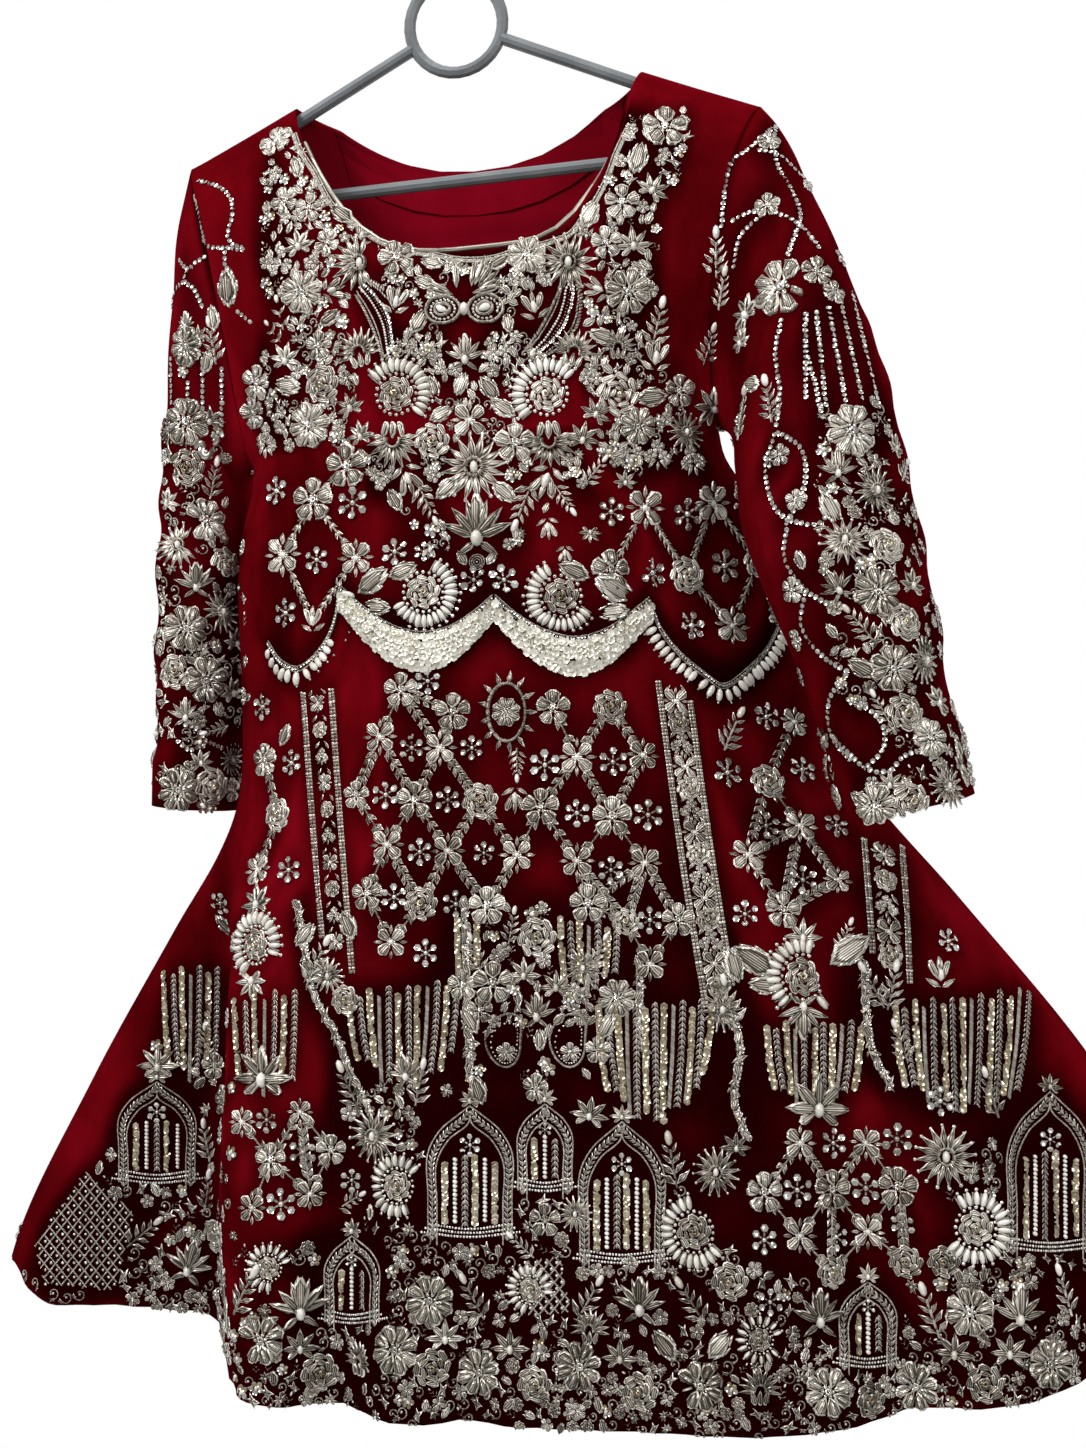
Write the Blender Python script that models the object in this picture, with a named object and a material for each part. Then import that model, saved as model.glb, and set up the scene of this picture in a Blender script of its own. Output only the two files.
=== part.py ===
"""Bridal frock in dark red velvet, hanging from a round-rod hanger.

Metres, +Z up, the front faces -Y. The origin is the inner top of the hanger's ring, where it hangs.
Every cloth piece is an open wall: a surface worked out from the tables below, thickened inwards,
with its thick applique raised in the outer points only.
"""
import math

import bmesh
import bpy
import numpy as np

# Cloth
CLOTH = 0.0020              # thickness of velvet, lining and ground work together
SEAM = 0.0003               # gap between neighbouring pieces
PLAIN_MARGIN = 0.020        # raised work fades out this far from a seam

# Hanger
ROD_RADIUS = 0.004
RING_RADIUS = 0.0315        # ring's centreline; its inner top is the origin
RING_CENTRE_Z = -(RING_RADIUS - ROD_RADIUS)
ARM_START = (0.0300, -0.0402)
ARM_END = (0.1680, -0.1033)
BAR_Z = -0.1330
END_BEND = 0.0125           # radius of the rod's bend at each end
BEND_START = 0.15           # angle where the bend takes over from the arm

# Shoulders and neckline
TIP_X = {"left": 0.187, "right": 0.197}
NECK_SHARE = 0.61           # neck points, as a share of the way from the middle to the tips
NECK_X = 0.116
SHOULDER_START = 0.090
NECK_POINT_Z = -0.0715
SHOULDER_SLOPE = 0.44
SHOULDER_ROUND = 0.0035     # how far the cloth rounds over the hanger's arm
FRONT_NECK_DROP = 0.1345
FRONT_NECK_LOW = 0.13       # the lowest point hangs a little off the middle
FRONT_NECK_POWER = (3.5, 3.8)
BACK_NECK_DROP = 0.0525
BACK_NECK_POWER = 2.2
FACING_THICKNESS = 0.0010

# Armhole
UNDERARM_X = 0.156
UNDERARM_Z = -0.310
ARMHOLE_CUT = 2.6           # how sharply the armhole curves in
ARMHOLE_DEPTH = {"front": 0.045, "back": 0.040}

# Chest, as it falls from the shoulder line
CHEST_DEPTH = {"front": 0.062, "back": 0.046}
CHEST_FALL = {"front": 0.046, "back": 0.032}
ROUNDNESS = 2.6             # section power: 2 is an ellipse

# Hem
HEM_Z = -0.905
HEM_COLUMNS = ("across", "rise")
HEM_ROWS = (
    (-1.00, 0.062),
    (-0.92, 0.040),
    (-0.80, 0.034),
    (-0.62, 0.027),
    (-0.50, 0.012),
    (-0.40, 0.002),
    (-0.25, 0.000),
    (0.30, 0.000),
    (0.50, 0.002),
    (0.76, 0.016),
    (0.90, 0.032),
    (1.00, 0.058),
)

BODY_COLUMNS = ("z", "left", "right", "front", "back")
BODY_ROWS = (
    (-0.310, -0.156, 0.156, 0.0655, 0.0495),
    (-0.328, -0.158, 0.159, 0.0658, 0.0495),
    (-0.350, -0.164, 0.171, 0.0665, 0.0495),
    (-0.380, -0.168, 0.184, 0.0690, 0.0500),
    (-0.425, -0.170, 0.196, 0.0715, 0.0505),
    (-0.480, -0.171, 0.208, 0.0780, 0.053),
    (-0.541, -0.182, 0.231, 0.0860, 0.059),
    (-0.620, -0.235, 0.290, 0.0960, 0.066),
    (-0.720, -0.301, 0.362, 0.1080, 0.074),
    (-0.844, -0.370, 0.428, 0.1230, 0.082),
    (-0.905, -0.378, 0.440, 0.1300, 0.086),
)

# Beside the sleeves the body's sides swing: the right one back behind its sleeve, the left forward
SIDE_SWING = {"left": -0.010, "right": 0.034}
SWING_X = (0.060, 0.180)
SWING_TOP = (-0.316, -0.396)
SWING_LOW = (-0.490, -0.620)

# Folds: where across (-1 left seam, 1 right seam) at the top and hem, half width, depth out of the
# cloth at the hem (minus is a valley), and the height where the fold begins
FOLD_COLUMNS = ("side", "across_top", "across_hem", "half_width", "depth", "start")
FOLD_ROWS = (
    ("front", -0.30, -0.345, 0.075, -0.030, -0.60),
    ("front", -0.05, -0.125, 0.045, -0.012, -0.70),
    ("front", 0.25, 0.300, 0.150, 0.014, -0.58),
    ("front", 0.50, 0.520, 0.060, -0.016, -0.64),
    ("front", 0.66, 0.680, 0.080, 0.010, -0.60),
    ("front", 0.78, 0.860, 0.070, -0.022, -0.60),
    ("front", -0.86, -0.900, 0.070, 0.016, -0.66),
    ("back", -0.70, -0.800, 0.090, 0.020, -0.56),
    ("back", -0.52, -0.580, 0.090, -0.030, -0.54),
    ("back", -0.25, -0.300, 0.100, 0.024, -0.58),
    ("back", 0.00, -0.020, 0.090, -0.026, -0.50),
    ("back", 0.28, 0.260, 0.100, 0.022, -0.60),
    ("back", 0.50, 0.540, 0.090, -0.030, -0.52),
    ("back", 0.74, 0.800, 0.090, 0.020, -0.58),
)

# The deep fold at the left of the front: outside its edge the cloth is set well back
TUCK_START_Z = -0.530
TUCK_FULL_Z = -0.640
TUCK_RIDGE = ((-0.905, -0.152), (-0.800, -0.164), (-0.540, -0.160))
TUCK_WIDTH = (0.020, 0.072)
TUCK_REMAINS = 0.14

# Sleeves: for each side, rings from the armhole to the cuff with their outer and inner points as
# seen from the front, their middle's y, their half depth and how far forward the inner line lies
SLEEVE_COLUMNS = ("along", "outer_x", "outer_z", "inner_x", "inner_z", "middle_y", "half_depth",
                  "inner_y")
SLEEVE_ROWS = {
    "right": (
        (0.00, 0.197, -0.107, 0.156, -0.310, 0.000, 0.044, 0.000),
        (0.12, 0.214, -0.136, 0.166, -0.318, -0.010, 0.049, -0.010),
        (0.28, 0.234, -0.192, 0.168, -0.345, -0.028, 0.052, -0.020),
        (0.45, 0.257, -0.272, 0.173, -0.388, -0.044, 0.054, -0.022),
        (0.62, 0.271, -0.352, 0.187, -0.432, -0.056, 0.054, -0.022),
        (0.80, 0.282, -0.445, 0.204, -0.484, -0.068, 0.052, -0.020),
        (1.00, 0.296, -0.550, 0.224, -0.558, -0.080, 0.050, -0.020),
    ),
    "left": (
        (0.00, -0.187, -0.103, -0.156, -0.310, 0.000, 0.044, 0.000),
        (0.12, -0.197, -0.136, -0.169, -0.317, 0.002, 0.047, 0.008),
        (0.28, -0.208, -0.195, -0.168, -0.342, 0.006, 0.050, 0.020),
        (0.45, -0.216, -0.275, -0.169, -0.388, 0.008, 0.052, 0.028),
        (0.62, -0.225, -0.352, -0.171, -0.432, 0.008, 0.054, 0.030),
        (0.80, -0.231, -0.445, -0.177, -0.484, 0.004, 0.054, 0.030),
        (1.00, -0.237, -0.531, -0.187, -0.540, 0.000, 0.052, 0.030),
    ),
}
CAP_BLEND = 0.22            # the sleeve leaves the armhole's own curve over this much of its length

# Raised work on the front. Across is measured along the cloth from the work's middle line, up is z,
# and a shape is a dome (rounded) or a plate (flat with soft edges).
WORK_MIDDLE = ((-0.190, 0.010), (-0.406, 0.014), (-0.506, 0.029), (-0.733, 0.054), (-0.907, 0.067))
WORK_COLUMNS = ("shape", "across", "up", "half_width", "half_height", "height")
WORK_ROWS = (
    ("plate", 0.000, -0.236, 0.085, 0.036, 0.0030),
    ("plate", 0.000, -0.283, 0.140, 0.034, 0.0032),
    ("dome", -0.052, -0.292, 0.034, 0.032, 0.0042),
    ("dome", 0.052, -0.292, 0.034, 0.032, 0.0042),
    ("dome", 0.000, -0.350, 0.032, 0.034, 0.0036),
    ("dome", -0.095, -0.190, 0.018, 0.024, 0.0034),
    ("dome", 0.095, -0.190, 0.018, 0.024, 0.0034),
    ("dome", -0.050, -0.400, 0.030, 0.022, 0.0038),
    ("dome", 0.052, -0.402, 0.030, 0.022, 0.0038),
    ("dome", 0.000, -0.482, 0.020, 0.028, 0.0034),
    ("dome", -0.178, -0.612, 0.034, 0.034, 0.0042),
    ("dome", 0.190, -0.640, 0.036, 0.036, 0.0042),
    ("plate", -0.060, -0.762, 0.028, 0.056, 0.0028),
    ("plate", 0.075, -0.768, 0.030, 0.058, 0.0028),
    ("plate", 0.330, -0.760, 0.034, 0.060, 0.0028),
    ("plate", -0.330, -0.770, 0.034, 0.056, 0.0028),
    ("dome", 0.000, -0.690, 0.036, 0.040, 0.0030),
)
CLUSTER_PITCH = (0.028, 0.036)
SOFT_EDGE = 0.006           # a strip's or scallop's edge rises over this much
STRIP_COLUMNS = ("across_top", "across_bottom", "top", "bottom")
STRIP_ROWS = (
    (-0.112, -0.140, -0.470, -0.640),
    (0.112, 0.096, -0.470, -0.655),
    (0.245, 0.238, -0.560, -0.670),
)
STRIP_HALF = 0.013
STRIP_HEIGHT = 0.0024
SCALLOP_COLUMNS = ("across", "low_z", "half_width")
SCALLOP_ROWS = (
    (-0.132, -0.458, 0.036),
    (-0.049, -0.446, 0.048),
    (0.049, -0.450, 0.048),
    (0.134, -0.462, 0.036),
)
SCALLOP_DEPTH = 0.042
SCALLOP_BAND = 0.010
SCALLOP_HEIGHT = 0.0034
HEM_BAND = 0.060
HEM_WAVE = 0.028
HEM_SWAY = 0.012            # how far the band's top edge goes up and down
HEM_HEIGHT = 0.0032

# Sleeve work: raised between these parts of its length, on its outer and front side
CLUSTER = (0.40, 0.86)
CLUSTER_HEIGHT = 0.0034
CUFF_START = 0.90
CUFF_HEIGHT = 0.0030

# Cord at the neckline
CORD_RADIUS = 0.0015
CORD_INSET = 0.03           # it ends this share of the width inside the neck points

# Mesh
YOKE_STEPS = 12
SKIRT_STEPS = 36
DENSE_ROWS = 18              # rows under the yoke that the plain inside keeps one by one
BAND_STEPS = {"front": (9, 3, 3, 3, 13, 6, 11), "back": (6, 2, 1, 1, 7, 2, 6)}
BAND_EDGES = (-0.52, -0.34, -0.26, 0.30)
SLEEVE_STEPS = 20
RING_STEPS = 32
BEND_STEPS = 7
FACING_ROWS = 4

VELVET = (0.155, 0.004, 0.012)
LINING = (0.200, 0.010, 0.018)
BEADS = (0.480, 0.440, 0.370)
PLASTIC = (0.145, 0.155, 0.162)


def named(rows, columns):
    """A table's rows as dictionaries."""
    return [dict(zip(columns, row)) for row in rows]


def smooth(x):
    x = np.clip(x, 0.0, 1.0)
    return x * x * (3.0 - 2.0 * x)


def through(x, xs, ys):
    """A smooth curve through the points of a table, read at x; beyond the ends it stays level."""
    xs, ys = np.asarray(xs, float), np.asarray(ys, float)
    step = np.diff(xs)
    rate = np.diff(ys) / step
    slope = np.concatenate(([rate[0]], (rate[1:] + rate[:-1]) / 2.0, [rate[-1]]))
    x = np.clip(x, xs[0], xs[-1])
    i = np.clip(np.searchsorted(xs, x, side="right") - 1, 0, len(step) - 1)
    h = step[i]
    t = (x - xs[i]) / h
    return (ys[i] * (1 + 2 * t) * (1 - t) ** 2 + slope[i] * h * t * (1 - t) ** 2
            + ys[i + 1] * t * t * (3 - 2 * t) + slope[i + 1] * h * t * t * (t - 1))


def body_value(name, z):
    """One column of the body table at height z."""
    rows = named(BODY_ROWS, BODY_COLUMNS)[::-1]
    return through(z, [row["z"] for row in rows], [row[name] for row in rows])


def shoulder_z(x):
    return NECK_POINT_Z - SHOULDER_SLOPE * (np.maximum(np.abs(x), SHOULDER_START) - NECK_X)


def neckline_drop(side, across):
    """How far the neckline hangs under the shoulder line; 0 from the neck points outwards."""
    share = np.clip(across / NECK_SHARE, -1.0, 1.0)
    if side == "back":
        return BACK_NECK_DROP * (1.0 - np.abs(share) ** BACK_NECK_POWER)
    left_half = share < FRONT_NECK_LOW
    reach = np.where(left_half, 1.0 + FRONT_NECK_LOW, 1.0 - FRONT_NECK_LOW)
    power = np.where(left_half, *FRONT_NECK_POWER)
    return FRONT_NECK_DROP * (1.0 - (np.abs(share - FRONT_NECK_LOW) / reach) ** power)


def armhole(side, turn):
    """The armhole's loop: turn 0 at the shoulder tip, pi under the arm, minus at the back."""
    down = (1.0 - np.cos(turn)) / 2.0
    tip_z = shoulder_z(TIP_X[side])
    z = tip_z + (UNDERARM_Z - tip_z) * down
    x = UNDERARM_X + (TIP_X[side] - UNDERARM_X) * (1.0 - down) ** ARMHOLE_CUT
    depth = np.where(turn >= 0, ARMHOLE_DEPTH["front"], ARMHOLE_DEPTH["back"])
    sign = 1.0 if side == "right" else -1.0
    return np.stack([sign * x, -depth * np.sin(turn), z], -1)


def armhole_frame(side, turn):
    """The seam's outward normal and its direction into the sleeve, shared by both its pieces."""
    sign = 1.0 if side == "right" else -1.0
    tiny = 1e-4
    along = armhole(side, turn + tiny) - armhole(side, turn - tiny)
    ends = (np.abs(np.sin(turn)) < 1e-6)[..., None]
    along = np.where(ends, np.array([0.0, 1.0, 0.0]), along)
    along = along / np.linalg.norm(along, axis=-1, keepdims=True)
    lean = SHOULDER_SLOPE * sign * (1.0 + np.cos(turn)) / 2.0
    normal = np.stack([lean, -np.sin(turn), np.cos(turn)], -1)
    normal = normal - (normal * along).sum(-1, keepdims=True) * along
    normal = normal / np.linalg.norm(normal, axis=-1, keepdims=True)
    into = np.cross(normal, along)
    into = into * np.sign(into[..., :1]) * sign
    return normal, into


def hem_z(across):
    rows = named(HEM_ROWS, HEM_COLUMNS)
    return HEM_Z + through(across, [row["across"] for row in rows], [row["rise"] for row in rows])


def fold_offset(side, across, z):
    """How far the folds push the cloth out of its plain section."""
    out = np.zeros_like(z)
    for fold in named(FOLD_ROWS, FOLD_COLUMNS):
        if fold["side"] != side:
            continue
        grown = np.clip((fold["start"] - z) / (fold["start"] - HEM_Z), 0.0, 1.0)
        place = fold["across_top"] + (fold["across_hem"] - fold["across_top"]) * grown
        bell = np.exp(-((across - place) / fold["half_width"]) ** 2)
        out = out + fold["depth"] * grown ** 1.2 * bell
    return out * np.clip((1.0 - np.abs(across)) / 0.08, 0.0, 1.0)


def tuck_factor(x, z):
    """What is left of the front's depth beside the deep fold."""
    grown = smooth((TUCK_START_Z - z) / (TUCK_START_Z - TUCK_FULL_Z))
    heights, places = zip(*TUCK_RIDGE)
    far = np.clip((TUCK_START_Z - z) / (TUCK_START_Z - HEM_Z), 0.0, 1.0)
    width = TUCK_WIDTH[0] + (TUCK_WIDTH[1] - TUCK_WIDTH[0]) * far
    beside = smooth((through(z, heights, places) - x) / width)
    return 1.0 - (1.0 - TUCK_REMAINS) * grown * beside


def swung(points):
    """The body's sides moved back or forward; both panels and both their faces move alike."""
    x, y, z = points[..., 0], points[..., 1], points[..., 2]
    beside = smooth((np.abs(x) - SWING_X[0]) / (SWING_X[1] - SWING_X[0]))
    started = smooth((SWING_TOP[0] - z) / (SWING_TOP[0] - SWING_TOP[1]))
    ended = smooth((z - SWING_LOW[1]) / (SWING_LOW[0] - SWING_LOW[1]))
    reach = np.where(x < 0, SIDE_SWING["left"], SIDE_SWING["right"])
    return np.stack([x, y + reach * beside * started * ended, z], -1)


def body_point(side, w, level):
    """A panel's outer surface: w runs from -1 to 1 across, level 0-1 is the yoke, 1-2 the rest."""
    across = np.sin(np.pi * w / 2.0)
    turn = np.pi * np.clip(level, 0.0, 1.0)
    down = (1.0 - np.cos(turn)) / 2.0
    below = np.clip(level - 1.0, 0.0, 1.0)
    yoke = level < 1.0

    arm_left, arm_right = armhole("left", turn)[..., 0], armhole("right", turn)[..., 0]
    low_z = UNDERARM_Z + (hem_z(across) - UNDERARM_Z) * below
    left = np.where(yoke, arm_left, body_value("left", low_z))
    right = np.where(yoke, arm_right, body_value("right", low_z))
    x = (left + right) / 2.0 + (right - left) / 2.0 * across
    top = shoulder_z(x) - neckline_drop(side, across)
    z = np.where(yoke, top + (UNDERARM_Z - top) * down, low_z)

    chest = CHEST_DEPTH[side]
    drop = np.maximum(shoulder_z(x) - z, 0.0)
    fall = chest * (1.0 - np.exp(-drop / CHEST_FALL[side]))
    fall = fall + SHOULDER_ROUND * (1.0 - np.exp(-drop / (SHOULDER_ROUND / 2.0)))
    fall = fall + (body_value(side, UNDERARM_Z) - fall) * down ** 4
    depth = np.where(yoke, fall, body_value(side, low_z))
    inward = np.clip((1.0 - np.abs(across)) / 0.06, 0.0, 1.0) * smooth(2.0 * down - 1.0)
    edge = np.where(yoke, ARMHOLE_DEPTH[side] * np.sin(turn) ** (1.0 + 2.0 * inward), 0.0)
    power = 0.5 + 0.5 * np.sin(np.pi * down) ** 2
    profile = np.clip(1.0 - np.abs(across) ** ROUNDNESS, 0.0, 1.0) ** power
    y = edge + (depth - edge) * profile
    if side == "front":
        y = y * tuck_factor(x, z)
    y = y + fold_offset(side, across, z)
    room = CLOTH * 1.5 * np.clip((1.0 - np.abs(across)) / 0.003, 0.0, 1.0)
    y = np.maximum(y, SEAM / 2.0 + np.where(yoke, 0.0, room))
    return np.stack([x, -y if side == "front" else y, z], -1)


def sleeve_value(side, name, along):
    rows = named(SLEEVE_ROWS[side], SLEEVE_COLUMNS)
    return through(along, [row["along"] for row in rows], [row[name] for row in rows])


def sleeve_point(side, turn, along):
    """A sleeve's outer surface: turn 0 is its outer line, pi the underarm line, plus is the front."""
    value = {name: sleeve_value(side, name, along) for name in SLEEVE_COLUMNS[1:]}
    half_x = (value["outer_x"] - value["inner_x"]) / 2.0
    half_z = (value["outer_z"] - value["inner_z"]) / 2.0
    x = value["inner_x"] + half_x * (1.0 + np.cos(turn))
    z = value["inner_z"] + half_z * (1.0 + np.cos(turn))
    y = value["middle_y"] - value["half_depth"] * np.sin(turn)
    y = y + value["inner_y"] * (1.0 - np.cos(turn)) / 2.0
    free = (1.0 - (1.0 - np.clip(along / CAP_BLEND, 0.0, 1.0)) ** 2)[..., None]
    normal, into = armhole_frame(side, turn)
    seam = armhole(side, turn) + into * SEAM / 2.0
    return seam * (1.0 - free) + np.stack([x, y, z], -1) * free


def grid_normals(points, closed, facing):
    """Unit normals of a grid of points, turned to the side that facing gives."""
    def slope(values, axis, wrap):
        if wrap:
            return np.roll(values, -1, axis) - np.roll(values, 1, axis)
        return np.gradient(values, axis=axis)
    normal = np.cross(slope(points, 0, False), slope(points, 1, closed))
    normal = normal / np.maximum(np.linalg.norm(normal, axis=-1, keepdims=True), 1e-12)
    return normal * facing


def unit(vectors):
    return vectors / np.linalg.norm(vectors, axis=-1, keepdims=True)


def columns_across(side):
    """The panel's column places, closer together at the deep fold, with one at each neck point."""
    neck = 2.0 / math.pi * math.asin(NECK_SHARE)
    edges = [-1.0, BAND_EDGES[0], -neck, *BAND_EDGES[1:], neck, 1.0]
    parts = [np.linspace(a, b, n, endpoint=False)
             for a, b, n in zip(edges, edges[1:], BAND_STEPS[side])]
    return np.concatenate(parts + [[1.0]]), neck


def panel(side):
    """Grid of a panel's outer points and its normals, with the seams' own normals at its edges."""
    w, neck = columns_across(side)
    levels = np.concatenate([np.linspace(0, 1, YOKE_STEPS + 1),
                             np.linspace(1, 2, SKIRT_STEPS + 1)[1:]])
    grid_w, grid_level = np.meshgrid(w, levels)
    points = body_point(side, grid_w, grid_level)
    front = side == "front"
    normals = grid_normals(points, False, 1.0)
    if (normals[-1, len(w) // 2, 1] < 0) != front:
        normals = -normals

    turn = np.pi * levels[:YOKE_STEPS + 1] * (1.0 if front else -1.0)
    for column, arm in ((0, "left"), (-1, "right")):
        normal, into = armhole_frame(arm, turn)
        edge = armhole(arm, turn) - into * SEAM / 2.0
        edge[:, 1] = np.minimum(edge[:, 1], -SEAM / 2) if front else np.maximum(edge[:, 1], SEAM / 2)
        points[:YOKE_STEPS + 1, column] = edge
        normals[:YOKE_STEPS + 1, column] = normal
        down = np.gradient(points[:, column], axis=0)[YOKE_STEPS + 1:]
        outward = -1.0 if arm == "left" else 1.0
        normals[YOKE_STEPS + 1:, column] = np.stack(
            [-outward * down[:, 2], 0 * down[:, 1], outward * down[:, 0]], -1)
    on_seam = np.abs(w) >= neck - 1e-9
    on_seam[[0, -1]] = False
    normals[0, on_seam] = np.stack([SHOULDER_SLOPE * np.sign(w[on_seam]), 0 * w[on_seam],
                                    np.ones(on_seam.sum())], -1)
    return points, unit(normals), w, neck


def sleeve(side):
    """Grid of a sleeve's outer points and normals: rings from the armhole to the cuff."""
    turns = np.linspace(0, 2 * np.pi, 2 * YOKE_STEPS, endpoint=False)
    turns = np.where(turns > np.pi + 1e-9, turns - 2 * np.pi, turns)
    along = np.linspace(0, 1, SLEEVE_STEPS + 1)
    grid_turn, grid_along = np.meshgrid(turns, along)
    points = sleeve_point(side, grid_turn, grid_along)
    normals = grid_normals(points, True, 1.0)
    middle = points[SLEEVE_STEPS // 2].mean(0)
    if ((points[SLEEVE_STEPS // 2] - middle) * normals[SLEEVE_STEPS // 2]).sum() < 0:
        normals = -normals
    normals[0] = armhole_frame(side, turns)[0]
    return points, unit(normals), grid_turn, grid_along


def distance_across(points, middle_x):
    """Distance along the cloth from the work's middle line, row by row."""
    step = np.linalg.norm(np.diff(points, axis=1), axis=-1)
    length = np.concatenate([np.zeros((len(points), 1)), np.cumsum(step, 1)], 1)
    for row, x in enumerate(middle_x):
        length[row] -= np.interp(x, points[row, :, 0], length[row])
    return length


def front_work(points):
    """Height of the raised work over each point of the front."""
    z = points[..., 2]
    heights, places = zip(*WORK_MIDDLE[::-1])
    s = distance_across(points, np.interp(z[:, z.shape[1] // 2], heights, places))
    work = np.zeros_like(z)
    clusters = 0.65 + 0.35 * np.cos(2 * np.pi * s / CLUSTER_PITCH[0]) * np.cos(
        2 * np.pi * z / CLUSTER_PITCH[1])
    for item in named(WORK_ROWS, WORK_COLUMNS):
        far = np.hypot((s - item["across"]) / item["half_width"],
                       (z - item["up"]) / item["half_height"])
        dome = np.sqrt(np.clip(1 - far ** 2, 0, 1))
        plate = clusters * smooth((1.25 - far) / 0.35)
        work = np.maximum(work, item["height"] * (dome if item["shape"] == "dome" else plate))
    for strip in named(STRIP_ROWS, STRIP_COLUMNS):
        part = np.clip((strip["top"] - z) / (strip["top"] - strip["bottom"]), 0, 1)
        place = strip["across_top"] + (strip["across_bottom"] - strip["across_top"]) * part
        inside = (z < strip["top"]) & (z > strip["bottom"])
        rise = smooth((STRIP_HALF - np.abs(s - place)) / SOFT_EDGE + 0.5)
        work = np.maximum(work, STRIP_HEIGHT * rise * inside)
    for scallop in named(SCALLOP_ROWS, SCALLOP_COLUMNS):
        out = (s - scallop["across"]) / scallop["half_width"]
        curve = scallop["low_z"] + SCALLOP_DEPTH * np.abs(out) ** 2
        rise = smooth((SCALLOP_BAND - np.abs(z - curve)) / SOFT_EDGE + 0.5)
        work = np.maximum(work, SCALLOP_HEIGHT * rise * (np.abs(out) <= 1.05))
    band = HEM_Z + HEM_BAND + HEM_SWAY * np.cos(2 * np.pi * s / (3 * HEM_WAVE))
    bumps = 0.65 + 0.35 * np.cos(2 * np.pi * s / HEM_WAVE)
    work = np.maximum(work, HEM_HEIGHT * bumps * smooth((band - z) / 0.02))
    return work


def edge_fade(points, closed):
    """1 inside a piece, falling to 0 at its side seams and its top edge."""
    down = np.concatenate([np.zeros((1, points.shape[1])),
                           np.cumsum(np.linalg.norm(np.diff(points, axis=0), axis=-1), 0)])
    fade = smooth(down / PLAIN_MARGIN)
    if not closed:
        step = np.linalg.norm(np.diff(points, axis=1), axis=-1)
        length = np.concatenate([np.zeros((len(points), 1)), np.cumsum(step, 1)], 1)
        near = np.minimum(length, length[:, -1:] - length)
        fade = fade * smooth(near / PLAIN_MARGIN)
    return fade


def sleeve_work(turn, along):
    """Height of the raised work on a sleeve: the cluster on its outer front, and the cuff."""
    facing = smooth((np.cos(turn - 0.9) + 0.35) / 0.5)
    length = smooth((along - CLUSTER[0]) / 0.05) * smooth((CLUSTER[1] - along) / 0.04)
    bumps = 0.6 + 0.4 * np.cos(6 * turn) * np.cos(along * 62)
    cluster = CLUSTER_HEIGHT * facing * length * bumps
    cuff = CUFF_HEIGHT * smooth((along - CUFF_START) / 0.03) * (0.75 + 0.25 * np.cos(8 * turn))
    return np.maximum(cluster, cuff)


def make_object(name, mesh, parts, material):
    obj = bpy.data.objects.new(name, mesh)
    parts.objects.link(obj)
    mesh.materials.append(material)
    mesh.shade_smooth()
    mesh.set_sharp_from_angle(angle=math.radians(50))
    return obj


def join_strip(fine, coarse, kept):
    """Triangles between an edge and the same edge with only the kept points."""
    faces = []
    for k, (start, end) in enumerate(zip(kept, kept[1:])):
        faces += [(fine[i], fine[i + 1], coarse[k]) for i in range(start, end)]
        faces.append((fine[end], coarse[k + 1], coarse[k]))
    return faces


def wall(name, points, normals, work, inner_rows, closed, parts, material, moved=np.array):
    """A cloth wall: raised outer points, plain inner points on fewer rows, and closed edges."""
    rows, columns = points.shape[:2]
    outer = moved(points + normals * work[..., None]).reshape(-1, 3)
    inner = moved(points - normals * CLOTH)[inner_rows].reshape(-1, 3)
    first = len(outer)
    out_id = np.arange(rows * columns).reshape(rows, columns)
    in_id = first + np.arange(len(inner_rows) * columns).reshape(len(inner_rows), columns)
    last = columns if closed else columns - 1
    faces = []
    for grid in (out_id, in_id):
        for i in range(len(grid) - 1):
            for j in range(last):
                k = (j + 1) % columns
                faces.append((grid[i, j], grid[i, k], grid[i + 1, k], grid[i + 1, j]))
    for row in (0, -1):
        for j in range(last):
            k = (j + 1) % columns
            faces.append((out_id[row, j], out_id[row, k], in_id[row, k], in_id[row, j]))
    if not closed:
        for column in (0, -1):
            faces += join_strip(out_id[:, column], in_id[:, column], inner_rows)

    mesh = bpy.data.meshes.new(name)
    shape = bmesh.new()
    verts = [shape.verts.new(p) for p in np.concatenate([outer, inner])]
    for face in faces:
        shape.faces.new([verts[i] for i in face])
    bmesh.ops.triangulate(shape, faces=[f for f in shape.faces if len(f.verts) > 3],
                          quad_method="FIXED")
    bmesh.ops.recalc_face_normals(shape, faces=shape.faces)
    shape.to_mesh(mesh)
    shape.free()
    return make_object(name, mesh, parts, material)


def kept_rows(rows, dense, skip):
    """Rows of the plain inside: all of the first ones, then one in so many, and the last."""
    rest = list(range(dense, rows, skip))
    return list(range(dense)) + rest + ([rows - 1] if rest[-1] != rows - 1 else [])


def make_panel(side, parts, material):
    points, normals, w, neck = panel(side)
    work = front_work(points) * edge_fade(points, False) if side == "front" else np.zeros(
        points.shape[:2])
    rows = kept_rows(len(points), YOKE_STEPS + 1 + DENSE_ROWS, 3)
    wall(side + "_panel", points, normals, work, rows, False, parts, material, swung)
    return points, normals, w, neck


def make_sleeve(side, parts, material):
    points, normals, turn, along = sleeve(side)
    work = sleeve_work(turn, along) * edge_fade(points, True)
    wall(side + "_sleeve", points, normals, work, kept_rows(len(points), 4, 2), True, parts, material)


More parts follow.
